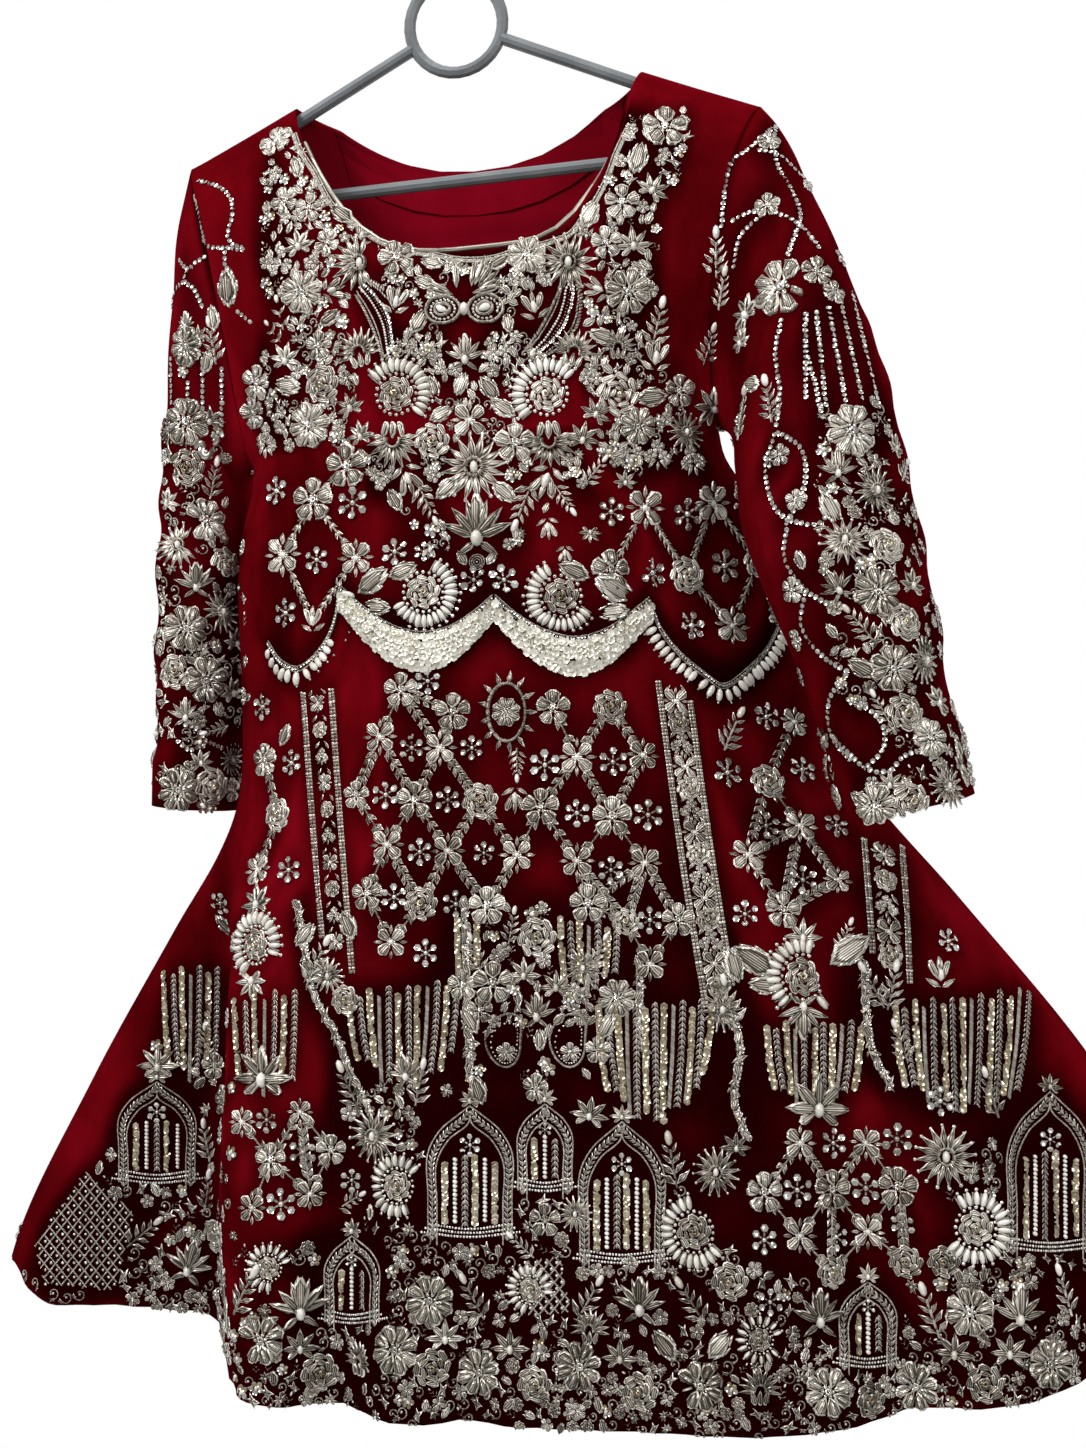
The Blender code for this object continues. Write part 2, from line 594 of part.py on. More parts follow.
def make_neck_facing(points, normals, w, neck, parts, material):
    """Band inside the back neck, laid on the lining side of the back panel."""
    inside = np.abs(w) < neck - 1e-9
    band = (points - normals * (CLOTH + SEAM))[:FACING_ROWS, inside]
    direction = normals[:FACING_ROWS, inside]
    wall_inner = FACING_THICKNESS - CLOTH
    shifted = band - direction * wall_inner
    wall("back_neck_facing", shifted, direction, np.full(band.shape[:2], wall_inner),
         list(range(FACING_ROWS)), False, parts, material)


def curve_tube(name, path, radius, resolution, parts, material, closed=False):
    """A round rod or cord along a path, made a mesh with welded caps."""
    data = bpy.data.curves.new(name, "CURVE")
    data.dimensions = "3D"
    data.bevel_depth = radius
    data.bevel_resolution = resolution
    data.use_fill_caps = not closed
    line = data.splines.new("POLY")
    line.points.add(len(path) - 1)
    for point, place in zip(line.points, path):
        point.co = (*place, 1.0)
    line.use_cyclic_u = closed
    tube = bpy.data.objects.new(name + "_curve", data)
    parts.objects.link(tube)
    bpy.context.view_layer.update()
    mesh = bpy.data.meshes.new_from_object(tube.evaluated_get(bpy.context.evaluated_depsgraph_get()))
    bpy.data.objects.remove(tube)
    shape = bmesh.new()
    shape.from_mesh(mesh)
    bmesh.ops.remove_doubles(shape, verts=shape.verts, dist=0.00001)
    bmesh.ops.recalc_face_normals(shape, faces=shape.faces)
    shape.to_mesh(mesh)
    shape.free()
    mesh.materials.clear()
    return make_object(name, mesh, parts, material)


def make_neck_cord(points, normals, w, neck, parts, material):
    """Beaded cord along the front neckline's edge, ending short of the hanger's arms."""
    inside = np.abs(w) < neck - CORD_INSET
    edge, direction = points[0], normals[0]
    rise = unit(np.cross(np.gradient(edge, axis=0), direction))
    rise = rise * np.sign((rise * (points[0] - points[2])).sum(-1, keepdims=True))
    path = edge - direction * CLOTH / 2.0 + rise * (CORD_RADIUS + SEAM)
    curve_tube("neckline_cord", path[inside], CORD_RADIUS, 2, parts, material)


def frame_path():
    """Centreline of the hanger's arms and bar: arm, round end, bar, round end, arm."""
    path = [(-ARM_START[0], ARM_START[1])]
    for sign in (-1.0, 1.0):
        centre = (sign * ARM_END[0], (ARM_END[1] + BAR_Z) / 2.0)
        bend = [(centre[0] + sign * END_BEND * math.sin(a), centre[1] + END_BEND * math.cos(a))
                for a in np.linspace(BEND_START, math.pi, BEND_STEPS)]
        path += bend if sign < 0 else bend[::-1]
    path.append(ARM_START)
    return [(x, 0.0, z) for x, z in path]


def make_hanger(parts, cutters, material):
    ring_path = [(RING_RADIUS * math.sin(a), 0.0, RING_CENTRE_Z + RING_RADIUS * math.cos(a))
                 for a in np.linspace(0, 2 * math.pi, RING_STEPS, endpoint=False)]
    curve_tube("hanger_ring", ring_path, ROD_RADIUS, 2, parts, material, closed=True)
    socket = curve_tube("ring_socket", ring_path, ROD_RADIUS + SEAM, 2, cutters, material, closed=True)
    socket.hide_render = True
    socket.display_type = "WIRE"
    frame = curve_tube("hanger_frame", frame_path(), ROD_RADIUS, 3, parts, material)
    cut = frame.modifiers.new("seat on the ring", "BOOLEAN")
    cut.operation = "DIFFERENCE"
    cut.solver = "EXACT"
    cut.object = socket


def make_material(name, colour, roughness):
    material = bpy.data.materials.new(name)
    material.use_nodes = True
    shader = material.node_tree.nodes["Principled BSDF"]
    shader.inputs["Base Color"].default_value = (*colour, 1.0)
    shader.inputs["Roughness"].default_value = roughness
    shader.inputs["Metallic"].default_value = 0.0
    return material


def make_collection(name):
    collection = bpy.data.collections.new(name)
    bpy.context.scene.collection.children.link(collection)
    return collection


def main():
    for obj in list(bpy.data.objects):
        bpy.data.objects.remove(obj)
    parts = make_collection("bridal_frock_on_hanger")
    cutters = make_collection("cutters")

    front = make_panel("front", parts, make_material("front velvet", VELVET, 0.85))
    back = make_panel("back", parts, make_material("back velvet", VELVET, 0.85))
    for side in ("left", "right"):
        make_sleeve(side, parts, make_material(side + " sleeve velvet", VELVET, 0.85))
    make_neck_facing(*back, parts, make_material("facing", LINING, 0.8))
    make_neck_cord(*front, parts, make_material("neckline beads", BEADS, 0.4))
    make_hanger(parts, cutters, make_material("grey plastic", PLASTIC, 0.45))


main()
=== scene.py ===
"""Looks of the bridal frock on its hanger: velvet shells, hand work and hanger, around the CAD frame.

Metres, +Z up, front -Y. The cloth's surface is worked out from the same tables as the CAD's, on a finer
grid with soft creases, and the hand work is laid on that surface.
"""

import math

import bpy
import numpy as np
from mathutils import Matrix, Vector
from mathutils.bvhtree import BVHTree
from mathutils.kdtree import KDTree


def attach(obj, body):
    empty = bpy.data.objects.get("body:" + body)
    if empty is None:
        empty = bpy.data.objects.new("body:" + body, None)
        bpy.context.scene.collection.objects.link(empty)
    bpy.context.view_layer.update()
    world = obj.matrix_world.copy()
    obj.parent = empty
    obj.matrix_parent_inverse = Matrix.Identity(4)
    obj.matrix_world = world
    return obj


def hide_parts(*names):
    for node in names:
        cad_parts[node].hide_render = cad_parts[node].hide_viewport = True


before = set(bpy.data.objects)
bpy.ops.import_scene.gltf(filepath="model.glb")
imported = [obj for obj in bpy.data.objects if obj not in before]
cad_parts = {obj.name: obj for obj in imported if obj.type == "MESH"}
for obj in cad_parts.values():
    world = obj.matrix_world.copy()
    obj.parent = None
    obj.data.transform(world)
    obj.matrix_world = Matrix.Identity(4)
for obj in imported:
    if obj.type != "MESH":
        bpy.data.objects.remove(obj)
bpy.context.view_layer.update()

# Cloth
CLOTH = 0.0020              # thickness of velvet, lining and ground work together
SEAM = 0.0003               # gap between neighbouring pieces
PLAIN_MARGIN = 0.020        # raised work fades out this far from a seam

# Shoulders and neckline
TIP_X = {"left": 0.187, "right": 0.197}
NECK_SHARE = 0.61           # neck points, as a share of the way from the middle to the tips
NECK_X = 0.116
SHOULDER_START = 0.090
NECK_POINT_Z = -0.0715
SHOULDER_SLOPE = 0.44
SHOULDER_ROUND = 0.0035     # how far the cloth rounds over the hanger's arm
FRONT_NECK_DROP = 0.1345
FRONT_NECK_LOW = 0.13       # the lowest point hangs a little off the middle
FRONT_NECK_POWER = (3.5, 3.8)
BACK_NECK_DROP = 0.0525
BACK_NECK_POWER = 2.2

# Armhole
UNDERARM_X = 0.156
UNDERARM_Z = -0.310
ARMHOLE_CUT = 2.6           # how sharply the armhole curves in
ARMHOLE_DEPTH = {"front": 0.045, "back": 0.040}

# Chest, as it falls from the shoulder line
CHEST_DEPTH = {"front": 0.062, "back": 0.046}
CHEST_FALL = {"front": 0.046, "back": 0.032}
ROUNDNESS = 2.6             # section power: 2 is an ellipse

# Hem
HEM_Z = -0.905
HEM_COLUMNS = ("across", "rise")
HEM_ROWS = (
    (-1.00, 0.062),
    (-0.92, 0.040),
    (-0.80, 0.034),
    (-0.62, 0.027),
    (-0.50, 0.012),
    (-0.40, 0.002),
    (-0.25, 0.000),
    (0.30, 0.000),
    (0.50, 0.002),
    (0.76, 0.016),
    (0.90, 0.032),
    (1.00, 0.058),
)

BODY_COLUMNS = ("z", "left", "right", "front", "back")
BODY_ROWS = (
    (-0.310, -0.156, 0.156, 0.0655, 0.0495),
    (-0.328, -0.158, 0.159, 0.0658, 0.0495),
    (-0.350, -0.164, 0.171, 0.0665, 0.0495),
    (-0.380, -0.168, 0.184, 0.0690, 0.0500),
    (-0.425, -0.170, 0.196, 0.0715, 0.0505),
    (-0.480, -0.171, 0.208, 0.0780, 0.053),
    (-0.541, -0.182, 0.231, 0.0860, 0.059),
    (-0.620, -0.235, 0.290, 0.0960, 0.066),
    (-0.720, -0.301, 0.362, 0.1080, 0.074),
    (-0.844, -0.370, 0.428, 0.1230, 0.082),
    (-0.905, -0.378, 0.440, 0.1300, 0.086),
)

# Beside the sleeves the body's sides swing: the right one back behind its sleeve, the left forward
SIDE_SWING = {"left": -0.010, "right": 0.034}
SWING_X = (0.060, 0.180)
SWING_TOP = (-0.316, -0.396)
SWING_LOW = (-0.490, -0.620)

# Folds: where across (-1 left seam, 1 right seam) at the top and hem, half width, depth out of the
# cloth at the hem (minus is a valley), and the height where the fold begins
FOLD_COLUMNS = ("side", "across_top", "across_hem", "half_width", "depth", "start")
FOLD_ROWS = (
    ("front", -0.30, -0.345, 0.075, -0.030, -0.60),
    ("front", -0.05, -0.125, 0.045, -0.012, -0.70),
    ("front", 0.25, 0.300, 0.150, 0.014, -0.58),
    ("front", 0.50, 0.520, 0.060, -0.016, -0.64),
    ("front", 0.66, 0.680, 0.080, 0.010, -0.60),
    ("front", 0.78, 0.860, 0.070, -0.022, -0.60),
    ("front", -0.86, -0.900, 0.070, 0.016, -0.66),
    ("back", -0.70, -0.800, 0.090, 0.020, -0.56),
    ("back", -0.52, -0.580, 0.090, -0.030, -0.54),
    ("back", -0.25, -0.300, 0.100, 0.024, -0.58),
    ("back", 0.00, -0.020, 0.090, -0.026, -0.50),
    ("back", 0.28, 0.260, 0.100, 0.022, -0.60),
    ("back", 0.50, 0.540, 0.090, -0.030, -0.52),
    ("back", 0.74, 0.800, 0.090, 0.020, -0.58),
)

FOLD_GROWTH = 1.2           # power of a fold's growth towards the hem
FOLD_FADE = 0.08            # folds fade out over this share of the half width at the side seams
ARMHOLE_FADE = 0.06         # the armhole's edge turns in over this share
SIDE_ROOM = CLOTH * 1.5     # the panels stay this far apart, from this share inside the seams
SIDE_ROOM_FADE = 0.003

# The deep fold at the left of the front: outside its edge the cloth is set well back
TUCK_START_Z = -0.530
TUCK_FULL_Z = -0.640
TUCK_RIDGE = ((-0.905, -0.152), (-0.800, -0.164), (-0.540, -0.160))
TUCK_WIDTH = (0.020, 0.072)
TUCK_REMAINS = 0.14

# Sleeves: for each side, rings from the armhole to the cuff with their outer and inner points as
# seen from the front, their middle's y, their half depth and how far forward the inner line lies
SLEEVE_COLUMNS = ("along", "outer_x", "outer_z", "inner_x", "inner_z", "middle_y", "half_depth",
                  "inner_y")
SLEEVE_ROWS = {
    "right": (
        (0.00, 0.197, -0.107, 0.156, -0.310, 0.000, 0.044, 0.000),
        (0.12, 0.214, -0.136, 0.166, -0.318, -0.010, 0.049, -0.010),
        (0.28, 0.234, -0.192, 0.168, -0.345, -0.028, 0.052, -0.020),
        (0.45, 0.257, -0.272, 0.173, -0.388, -0.044, 0.054, -0.022),
        (0.62, 0.271, -0.352, 0.187, -0.432, -0.056, 0.054, -0.022),
        (0.80, 0.282, -0.445, 0.204, -0.484, -0.068, 0.052, -0.020),
        (1.00, 0.296, -0.550, 0.224, -0.558, -0.080, 0.050, -0.020),
    ),
    "left": (
        (0.00, -0.187, -0.103, -0.156, -0.310, 0.000, 0.044, 0.000),
        (0.12, -0.197, -0.136, -0.169, -0.317, 0.002, 0.047, 0.008),
        (0.28, -0.208, -0.195, -0.168, -0.342, 0.006, 0.050, 0.020),
        (0.45, -0.216, -0.275, -0.169, -0.388, 0.008, 0.052, 0.028),
        (0.62, -0.225, -0.352, -0.171, -0.432, 0.008, 0.054, 0.030),
        (0.80, -0.231, -0.445, -0.177, -0.484, 0.004, 0.054, 0.030),
        (1.00, -0.237, -0.531, -0.187, -0.540, 0.000, 0.052, 0.030),
    ),
}
CAP_BLEND = 0.22            # the sleeve leaves the armhole's own curve over this much of its length

# Raised work on the front. Across is measured along the cloth from the work's middle line, up is z,
# and a shape is a dome (rounded) or a plate (flat with soft edges).
WORK_MIDDLE = ((-0.190, 0.010), (-0.406, 0.014), (-0.506, 0.029), (-0.733, 0.054), (-0.907, 0.067))
WORK_COLUMNS = ("shape", "across", "up", "half_width", "half_height", "height")
WORK_ROWS = (
    ("plate", 0.000, -0.236, 0.085, 0.036, 0.0030),
    ("plate", 0.000, -0.283, 0.140, 0.034, 0.0032),
    ("dome", -0.052, -0.292, 0.034, 0.032, 0.0042),
    ("dome", 0.052, -0.292, 0.034, 0.032, 0.0042),
    ("dome", 0.000, -0.350, 0.032, 0.034, 0.0036),
    ("dome", -0.095, -0.190, 0.018, 0.024, 0.0034),
    ("dome", 0.095, -0.190, 0.018, 0.024, 0.0034),
    ("dome", -0.050, -0.400, 0.030, 0.022, 0.0038),
    ("dome", 0.052, -0.402, 0.030, 0.022, 0.0038),
    ("dome", 0.000, -0.482, 0.020, 0.028, 0.0034),
    ("dome", -0.178, -0.612, 0.034, 0.034, 0.0042),
    ("dome", 0.190, -0.640, 0.036, 0.036, 0.0042),
    ("plate", -0.060, -0.762, 0.028, 0.056, 0.0028),
    ("plate", 0.075, -0.768, 0.030, 0.058, 0.0028),
    ("plate", 0.330, -0.760, 0.034, 0.060, 0.0028),
    ("plate", -0.330, -0.770, 0.034, 0.056, 0.0028),
    ("dome", 0.000, -0.690, 0.036, 0.040, 0.0030),
)
CLUSTER_PITCH = (0.028, 0.036)
SOFT_EDGE = 0.006           # a strip's or scallop's edge rises over this much
STRIP_COLUMNS = ("across_top", "across_bottom", "top", "bottom")
STRIP_ROWS = (
    (-0.112, -0.140, -0.470, -0.640),
    (0.112, 0.096, -0.470, -0.655),
    (0.245, 0.238, -0.560, -0.670),
)
STRIP_HALF = 0.013
STRIP_HEIGHT = 0.0024
SCALLOP_COLUMNS = ("across", "low_z", "half_width")
SCALLOP_ROWS = (
    (-0.132, -0.458, 0.036),
    (-0.049, -0.446, 0.048),
    (0.049, -0.450, 0.048),
    (0.134, -0.462, 0.036),
)
SCALLOP_DEPTH = 0.042
SCALLOP_BAND = 0.010
SCALLOP_HEIGHT = 0.0034
HEM_BAND = 0.060
HEM_WAVE = 0.028
HEM_SWAY = 0.012            # how far the band's top edge goes up and down
HEM_HEIGHT = 0.0032

HEM_EDGE = 0.02             # the band's top edge rises over this much
BUMP_MEAN = 0.65            # plates and the band swell round this share of their height, by so much
BUMP_DEPTH = 0.35
PLATE_REACH = 1.25          # where a plate's edge ends, and how wide it is, in its half sizes
PLATE_EDGE = 0.35
SCALLOP_REACH = 1.05

# Sleeve work: raised between these parts of its length, on its outer and front side
CLUSTER = (0.40, 0.86)
CLUSTER_HEIGHT = 0.0034
CLUSTER_TURN = 0.9          # where round the sleeve its middle lies, in radians from the outer line
CLUSTER_WRAP = 0.35         # how far round it reaches, and how soft its sides are, as cosines
CLUSTER_SIDE = 0.5
CLUSTER_ENDS = (0.05, 0.04)     # shares of the length over which it starts and ends
CLUSTER_BUMPS = (6, 62)     # bumps round the sleeve, and their rate along it
CUFF_START = 0.90
CUFF_HEIGHT = 0.0030
CUFF_EDGE = 0.03            # share of the length over which it rises
CUFF_RIBS = 8

# Scene mesh: places across where the columns' spacing changes, steps across each band between them
# and the neck points, steps down the yoke and the skirt, and steps along and round a sleeve
BAND_EDGES = (-0.52, -0.34, -0.26, 0.30)
FINE_BANDS = {"front": (26, 12, 12, 12, 36, 14, 30), "back": (16, 8, 6, 6, 22, 8, 16)}
FINE_YOKE = 46
FINE_SKIRT = {"front": 110, "back": 84}
FINE_SLEEVE = {"steps": 92, "turn": 64}

# Soft creases: where each starts and ends as seen from the front, its half width and its depth
CREASE_COLUMNS = ("piece", "x_top", "z_top", "x_end", "z_end", "half_width", "depth")
CREASE_ROWS = (
    ("front", -0.120, -0.125, -0.132, -0.300, 0.010, -0.0022),
    ("front", -0.100, -0.170, -0.138, -0.330, 0.014, 0.0020),
    ("front", 0.150, -0.130, 0.142, -0.300, 0.011, -0.0026),
    ("front", 0.120, -0.200, 0.150, -0.330, 0.014, 0.0020),
    ("front", 0.100, -0.330, 0.168, -0.420, 0.012, -0.0026),
    ("front", 0.060, -0.360, 0.175, -0.480, 0.015, 0.0024),
    ("front", -0.090, -0.340, -0.150, -0.440, 0.012, -0.0024),
    ("front", -0.110, -0.460, -0.128, -0.700, 0.012, 0.0034),
    ("front", -0.060, -0.560, -0.078, -0.890, 0.014, 0.0040),
    ("front", 0.010, -0.600, 0.020, -0.890, 0.012, -0.0036),
    ("front", 0.110, -0.520, 0.150, -0.880, 0.016, 0.0044),
    ("front", 0.170, -0.540, 0.235, -0.890, 0.013, -0.0044),
    ("front", 0.250, -0.620, 0.330, -0.880, 0.015, 0.0042),
    ("front", -0.220, -0.640, -0.310, -0.860, 0.016, 0.0040),
    ("front", -0.190, -0.620, -0.225, -0.880, 0.012, -0.0040),
    ("back", -0.110, -0.110, -0.128, -0.280, 0.013, -0.0024),
    ("back", 0.115, -0.110, 0.135, -0.290, 0.012, -0.0024),
    ("back", -0.060, -0.300, -0.150, -0.400, 0.015, 0.0026),
    ("back", 0.070, -0.310, 0.160, -0.420, 0.014, -0.0026),
    ("back", -0.150, -0.480, -0.240, -0.860, 0.016, 0.0042),
    ("back", -0.070, -0.520, -0.110, -0.890, 0.014, -0.0040),
    ("back", 0.030, -0.500, 0.040, -0.890, 0.015, 0.0044),
    ("back", 0.120, -0.500, 0.180, -0.880, 0.014, -0.0040),
    ("back", 0.200, -0.560, 0.320, -0.860, 0.016, 0.0040),
    ("left", -0.200, -0.140, -0.196, -0.300, 0.010, -0.0024),
    ("left", -0.176, -0.330, -0.214, -0.350, 0.009, -0.0026),
    ("left", -0.178, -0.380, -0.220, -0.366, 0.010, 0.0024),
    ("left", -0.184, -0.430, -0.226, -0.445, 0.009, -0.0024),
    ("right", 0.214, -0.150, 0.226, -0.300, 0.012, -0.0026),
    ("right", 0.186, -0.360, 0.262, -0.372, 0.011, -0.0030),
    ("right", 0.190, -0.410, 0.270, -0.398, 0.012, 0.0026),
    ("right", 0.206, -0.470, 0.282, -0.486, 0.011, -0.0026),
)
CREASE_ENDS = (-0.15, 1.18)     # where a crease has gone, in its lengths from its top
CREASE_TAPER = 0.35
CREASE_SWAY = 0.6           # how far a crease sways, in its half widths, and its rate in radians a length
CREASE_WAVE = 4.2
RIPPLE = 0.0007             # small uneven waves all over the cloth

# Shared by the hand work
MM = 1000                   # millimetres in a metre
PIXEL_MM = 0.66             # millimetres a photo pixel, where a place isn't taken from the photo
TINY = 1e-9

# Photo and camera
PHOTO_SIZE = (1086, 1448)
CAMERA_DISTANCE = 1.15
CAMERA_TURN = 10.0          # degrees round from straight in front
CAMERA_ROLL = 3.5
FOCAL_PIXELS = 1742.42
SENSOR = 36.0
CAMERA_TARGET = (0.02973, 0.0, -0.49357)

# Studio: lights are name, place, size and power; the room's colours run from the front to the wall behind
STUDIO_MIDDLE = (0.03, 0.0, -0.5)
LIGHTS = (
    ("key", (-1.0, -1.7, 1.0), (0.7, 0.9), 46.0),
    ("fill", (1.5, -1.7, 0.2), (0.9, 1.2), 16.0),
    ("top", (0.2, -0.5, 1.5), (0.9, 0.5), 14.0),
)
ROOM_STOPS = ((0.0, (0.34, 0.34, 0.34)), (0.35, (1.0, 1.0, 1.0)))
FLOOR_REACH = 1.5
FLOOR_Z = -1.8
FLOOR_TONES = ((0.84, 0.84, 0.83), (0.88, 0.88, 0.87))
HANGER_GREYS = ((0.105, 0.115, 0.122), (0.155, 0.165, 0.172))

# Velvets: name, pile in its dark, middle and bright patches, the painted shade under and round the work, and
# sheen
VELVETS = (
    ("velvet", ((0.046, 0.0004, 0.0012), (0.108, 0.0010, 0.0034), (0.200, 0.0024, 0.0080)),
     (0.010, 0.0001, 0.0004), 0.07),
    ("velvet inside", ((0.150, 0.0014, 0.006), (0.190, 0.0020, 0.009), (0.240, 0.003, 0.014)),
     (0.15, 0.0015, 0.006), 0.06),
)
VELVET_ROUGHNESS = 0.85
PILE_PLACES = (0.32, 0.52, 0.74)    # where in the patches each of a pile's colours stands
SHEEN_TINT = (0.85, 0.02, 0.05)
WORK_SHADE_SPREAD = 5            # how far the painted shade spreads round the work, in steps of the grid
WORK_SHADE_FULL = 0.9            # parts a grid point at which the painted shade is nearly as dark as it gets

# Worked metals in the order of their slots: name, roughness, metallic, threads (their direction, scale and
# depth), strength of the outline, and colours from tarnish to shine
COIL, ROPE, PEARL, SEQUIN, GOLD, CREAM, BEAD = range(7)
METALS = (
    ("silver thread", 0.36, 0.62, ("Y", 0.24, 0.50), 0.8,
     ((0.10, (0.045, 0.036, 0.026)), (0.34, (0.24, 0.205, 0.160)), (0.56, (0.46, 0.42, 0.355)),
      (0.82, (0.80, 0.76, 0.69)))),
    ("silver rope", 0.34, 0.65, ("X", 0.40, 0.40), 0.0,
     ((0.12, (0.09, 0.072, 0.052)), (0.50, (0.40, 0.36, 0.30)), (0.85, (0.78, 0.74, 0.67)))),
    ("pearl", 0.20, 0.08, None, 0.0,
     ((0.15, (0.50, 0.46, 0.39)), (0.50, (0.74, 0.71, 0.65)), (0.85, (0.90, 0.88, 0.84)))),
    ("silver sequin", 0.16, 0.80, None, 0.0,
     ((0.15, (0.36, 0.33, 0.28)), (0.50, (0.66, 0.63, 0.58)), (0.85, (0.92, 0.91, 0.88)))),
    ("gold sequin", 0.22, 0.78, None, 0.0,
     ((0.15, (0.20, 0.15, 0.085)), (0.50, (0.44, 0.37, 0.25)), (0.85, (0.78, 0.70, 0.55)))),
    ("cream sequin", 0.20, 0.25, None, 0.0,
     ((0.15, (0.50, 0.46, 0.34)), (0.50, (0.78, 0.75, 0.65)), (0.85, (0.95, 0.94, 0.88)))),
    ("silver bead", 0.18, 0.72, None, 0.0,
     ((0.15, (0.24, 0.21, 0.165)), (0.50, (0.60, 0.57, 0.51)), (0.85, (0.95, 0.94, 0.90)))),
)
EDGING = ("silver edging", 0.38, 0.60, None, 0.0,
          ((0.0, (0.10, 0.085, 0.065)), (0.22, (0.26, 0.235, 0.195)), (0.5, (0.45, 0.42, 0.36))))
# How much of the tarnish goes by patch, by part and by motif
PATCH_TARNISH = 0.30
PART_TARNISH = 0.32
MOTIF_TARNISH = 0.34
# The outline: it starts between these rims, and turns from bright to dark between those
RIM_START = (0.35, 0.60)
RIM_EDGE = (0.66, 0.84)
RIM_TONES = (-0.5, 0.7)

# Small parts in unit size: half length 1 along x, half width 1 along y, height 1, rim 1 at the edge. A round
# form has its corners, the first one's turn in steps, a squareness (1 is an oval, less fills its corners),
# rings of (half length, half width, height, rim) and the height of its top.
ROUND_FORMS = {
    "bead": (6, 0.0, 1.0, ((1, 1, 0, 1), (0.8, 0.8, 0.68, 1 / 2)), 1),
    "dot": (5, 0.0, 1.0, ((1, 1, 0, 1),), 1),
    "pearl": (8, 0.0, 1.0, ((1, 1, 0, 1), (0.94, 0.92, 0.48, 2 / 3), (0.62, 0.58, 0.86, 1 / 3)), 1),
    "bar": (4, 0.5, 0.3, ((1, 1, 0, 1), (0.86, 0.6, 0.8, 1 / 2)), 1),
    "sequin": (8, 0.0, 1.0, ((1, 1, 0.2, 1), (1, 1, 0.9, 1), (0.26, 0.26, 0.25, 0.2)), None),
    "disc": (6, 0.0, 1.0, ((1, 1, 1, 1),), 0.3),
}
# A long form has stations of (place, half width) and a profile of (across, height)
LONG_FORMS = {
    "petal": (((-1, 0.05), (-0.35, 0.75), (0.5, 1.0), (1.0, 0.35)),
              ((-1, 0.0), (-0.6, 0.85), (0.0, 0.6), (0.6, 0.85), (1, 0.0))),
    "leaf": (((-1, 0.0), (-0.35, 1.0), (0.35, 0.75), (1.0, 0.0)),
             ((-1, 0.0), (-0.5, 1.0), (0.0, 0.45), (0.5, 1.0), (1, 0.0))),
    "blade": (((-1, 0.05), (-0.1, 0.95), (1.0, 0.05)), ((-1, 0.0), (0, 1.0), (1, 0.0))),
}
ROUND_KINDS = ("bead", "dot", "sequin", "disc")  # parts that don't turn with a ring
LOW_ENDS = 0.35             # height of a long form where it narrows to nothing

# Laying of parts; a part's row is its kind, point, normal, heading, size in mm, material and tone
POINT = slice(1, 4)
NORMAL = slice(4, 7)
HEADING = slice(7, 10)
SIZE = slice(10, 13)
MATERIAL = 13
TONE = 14
MANY_PARTS = 4              # a motif of more parts than this has a tone of its own
SIZE_SPREAD = (0.92, 1.08)
STRAY = 0.06                # how far a part's facing strays, and a sequin's by its material
SEQUIN_STRAY = {SEQUIN: 0.20, GOLD: 0.20, CREAM: 0.12}
SINK = 0.00015              # small parts are set this far into the cloth
EDGE_REACH = 0.0028         # a part further than this from the cloth hangs over its edge and is left out
MOTIF_GROWTH = 1.10         # motifs are laid this much larger than measured, to close on each other
PATH_STEP = 2.0             # photo pixels between the points looked up along a path
KEEP_CLEAR = 0.88           # filling keeps out of this share of a motif's half size
FAN_CLEAR = 1.02

# Filling of a region: clear space and gap of the rows, how far motifs stray, and their sizes and turns
FILL_ROOM = 0.35
FILL_ROW_GAP = 0.87
FILL_STRAY = 0.25
FILL_SIZES = (0.8, 1.15)
FILL_TURN = 70.0
RING_SIZES = (0.85, 1.12)   # the same for the rings of motifs on the hidden sides
RING_TURN = 25.0

# Links of a lattice, in photo pixels: flatter or shorter ones than this are left out
LINK_STEEPNESS = 0.35
LINK_SHORTEST = 3.0
LINK_START = 0.92           # where the cord starts, as a share of the flower's half size
LINK_CORD = 0.9
LINK_SPAN = (0.12, 0.88)    # the share of the cord that has leaves
LINK_SPLAY = 26.0           # how far the leaves of a link turn out, in degrees

# Strips: offset of each rail's two rows (mm), what a rail takes of the strip's half width (pixels)
RAIL_OFFSET = 1.05
RAIL_HALF = 4.0
RAIL_CLEAR = 5.0
STRIP_MOTIFS = (("quatrefoil", 1.0), ("rose", 0.9), ("posy", 0.9))

# Upright lines and garlands under the skirt
BAR_KINDS = ("sequin", "wheat", "sequin", "coil", "wheat")
BAR_CONVERGE = 0.16         # how far the bars of a group lean together at their foot
BAR_CLEAR = 4.5
TAKEN_GAP = 9.0             # pixels between the places that long work marks as taken
GARLANDS = (
    ((296, 900), (304, 943), (311, 986), (336, 1036), (350, 1071), (368, 1107)),
    ((464, 900), (466, 971), (468, 1029), (470, 1080)),
    ((639, 957), (641, 1021), (646, 1060)),
    ((725, 1000), (740, 1046), (734, 1100), (748, 1140)),
    ((864, 960), (866, 1010), (872, 1050), (890, 1085)),
)
GARLAND_LINES = ((-2.6, "cord"), (2.6, "chain"))
GARLAND_GAP = 6.5           # mm between the motifs of a garland
GARLAND_TURN = 65.0
GARLAND_MOTIFS = (("leaf", 4.8), ("bud", 4.6), ("tulip", 5.0), ("leaf", 4.4), ("knot", 3.4), ("bud", 5.2))

# Arches and crossed cords of the band above the hem
ARCH_RAIL = ((0.0, "cord"), (4.5, "wheat"), (9.0, "cord"))
ARCH_MARGIN = 12            # pixels kept free inside the rails and above the base
ARCH_LINE_GAP = 9.5
ARCH_KINDS = ("sequin", "pearl", "wheat", "sequin", "pearl")
ARCH_CLEAR = 5.5
DIAPER_CLEAR = 6.0

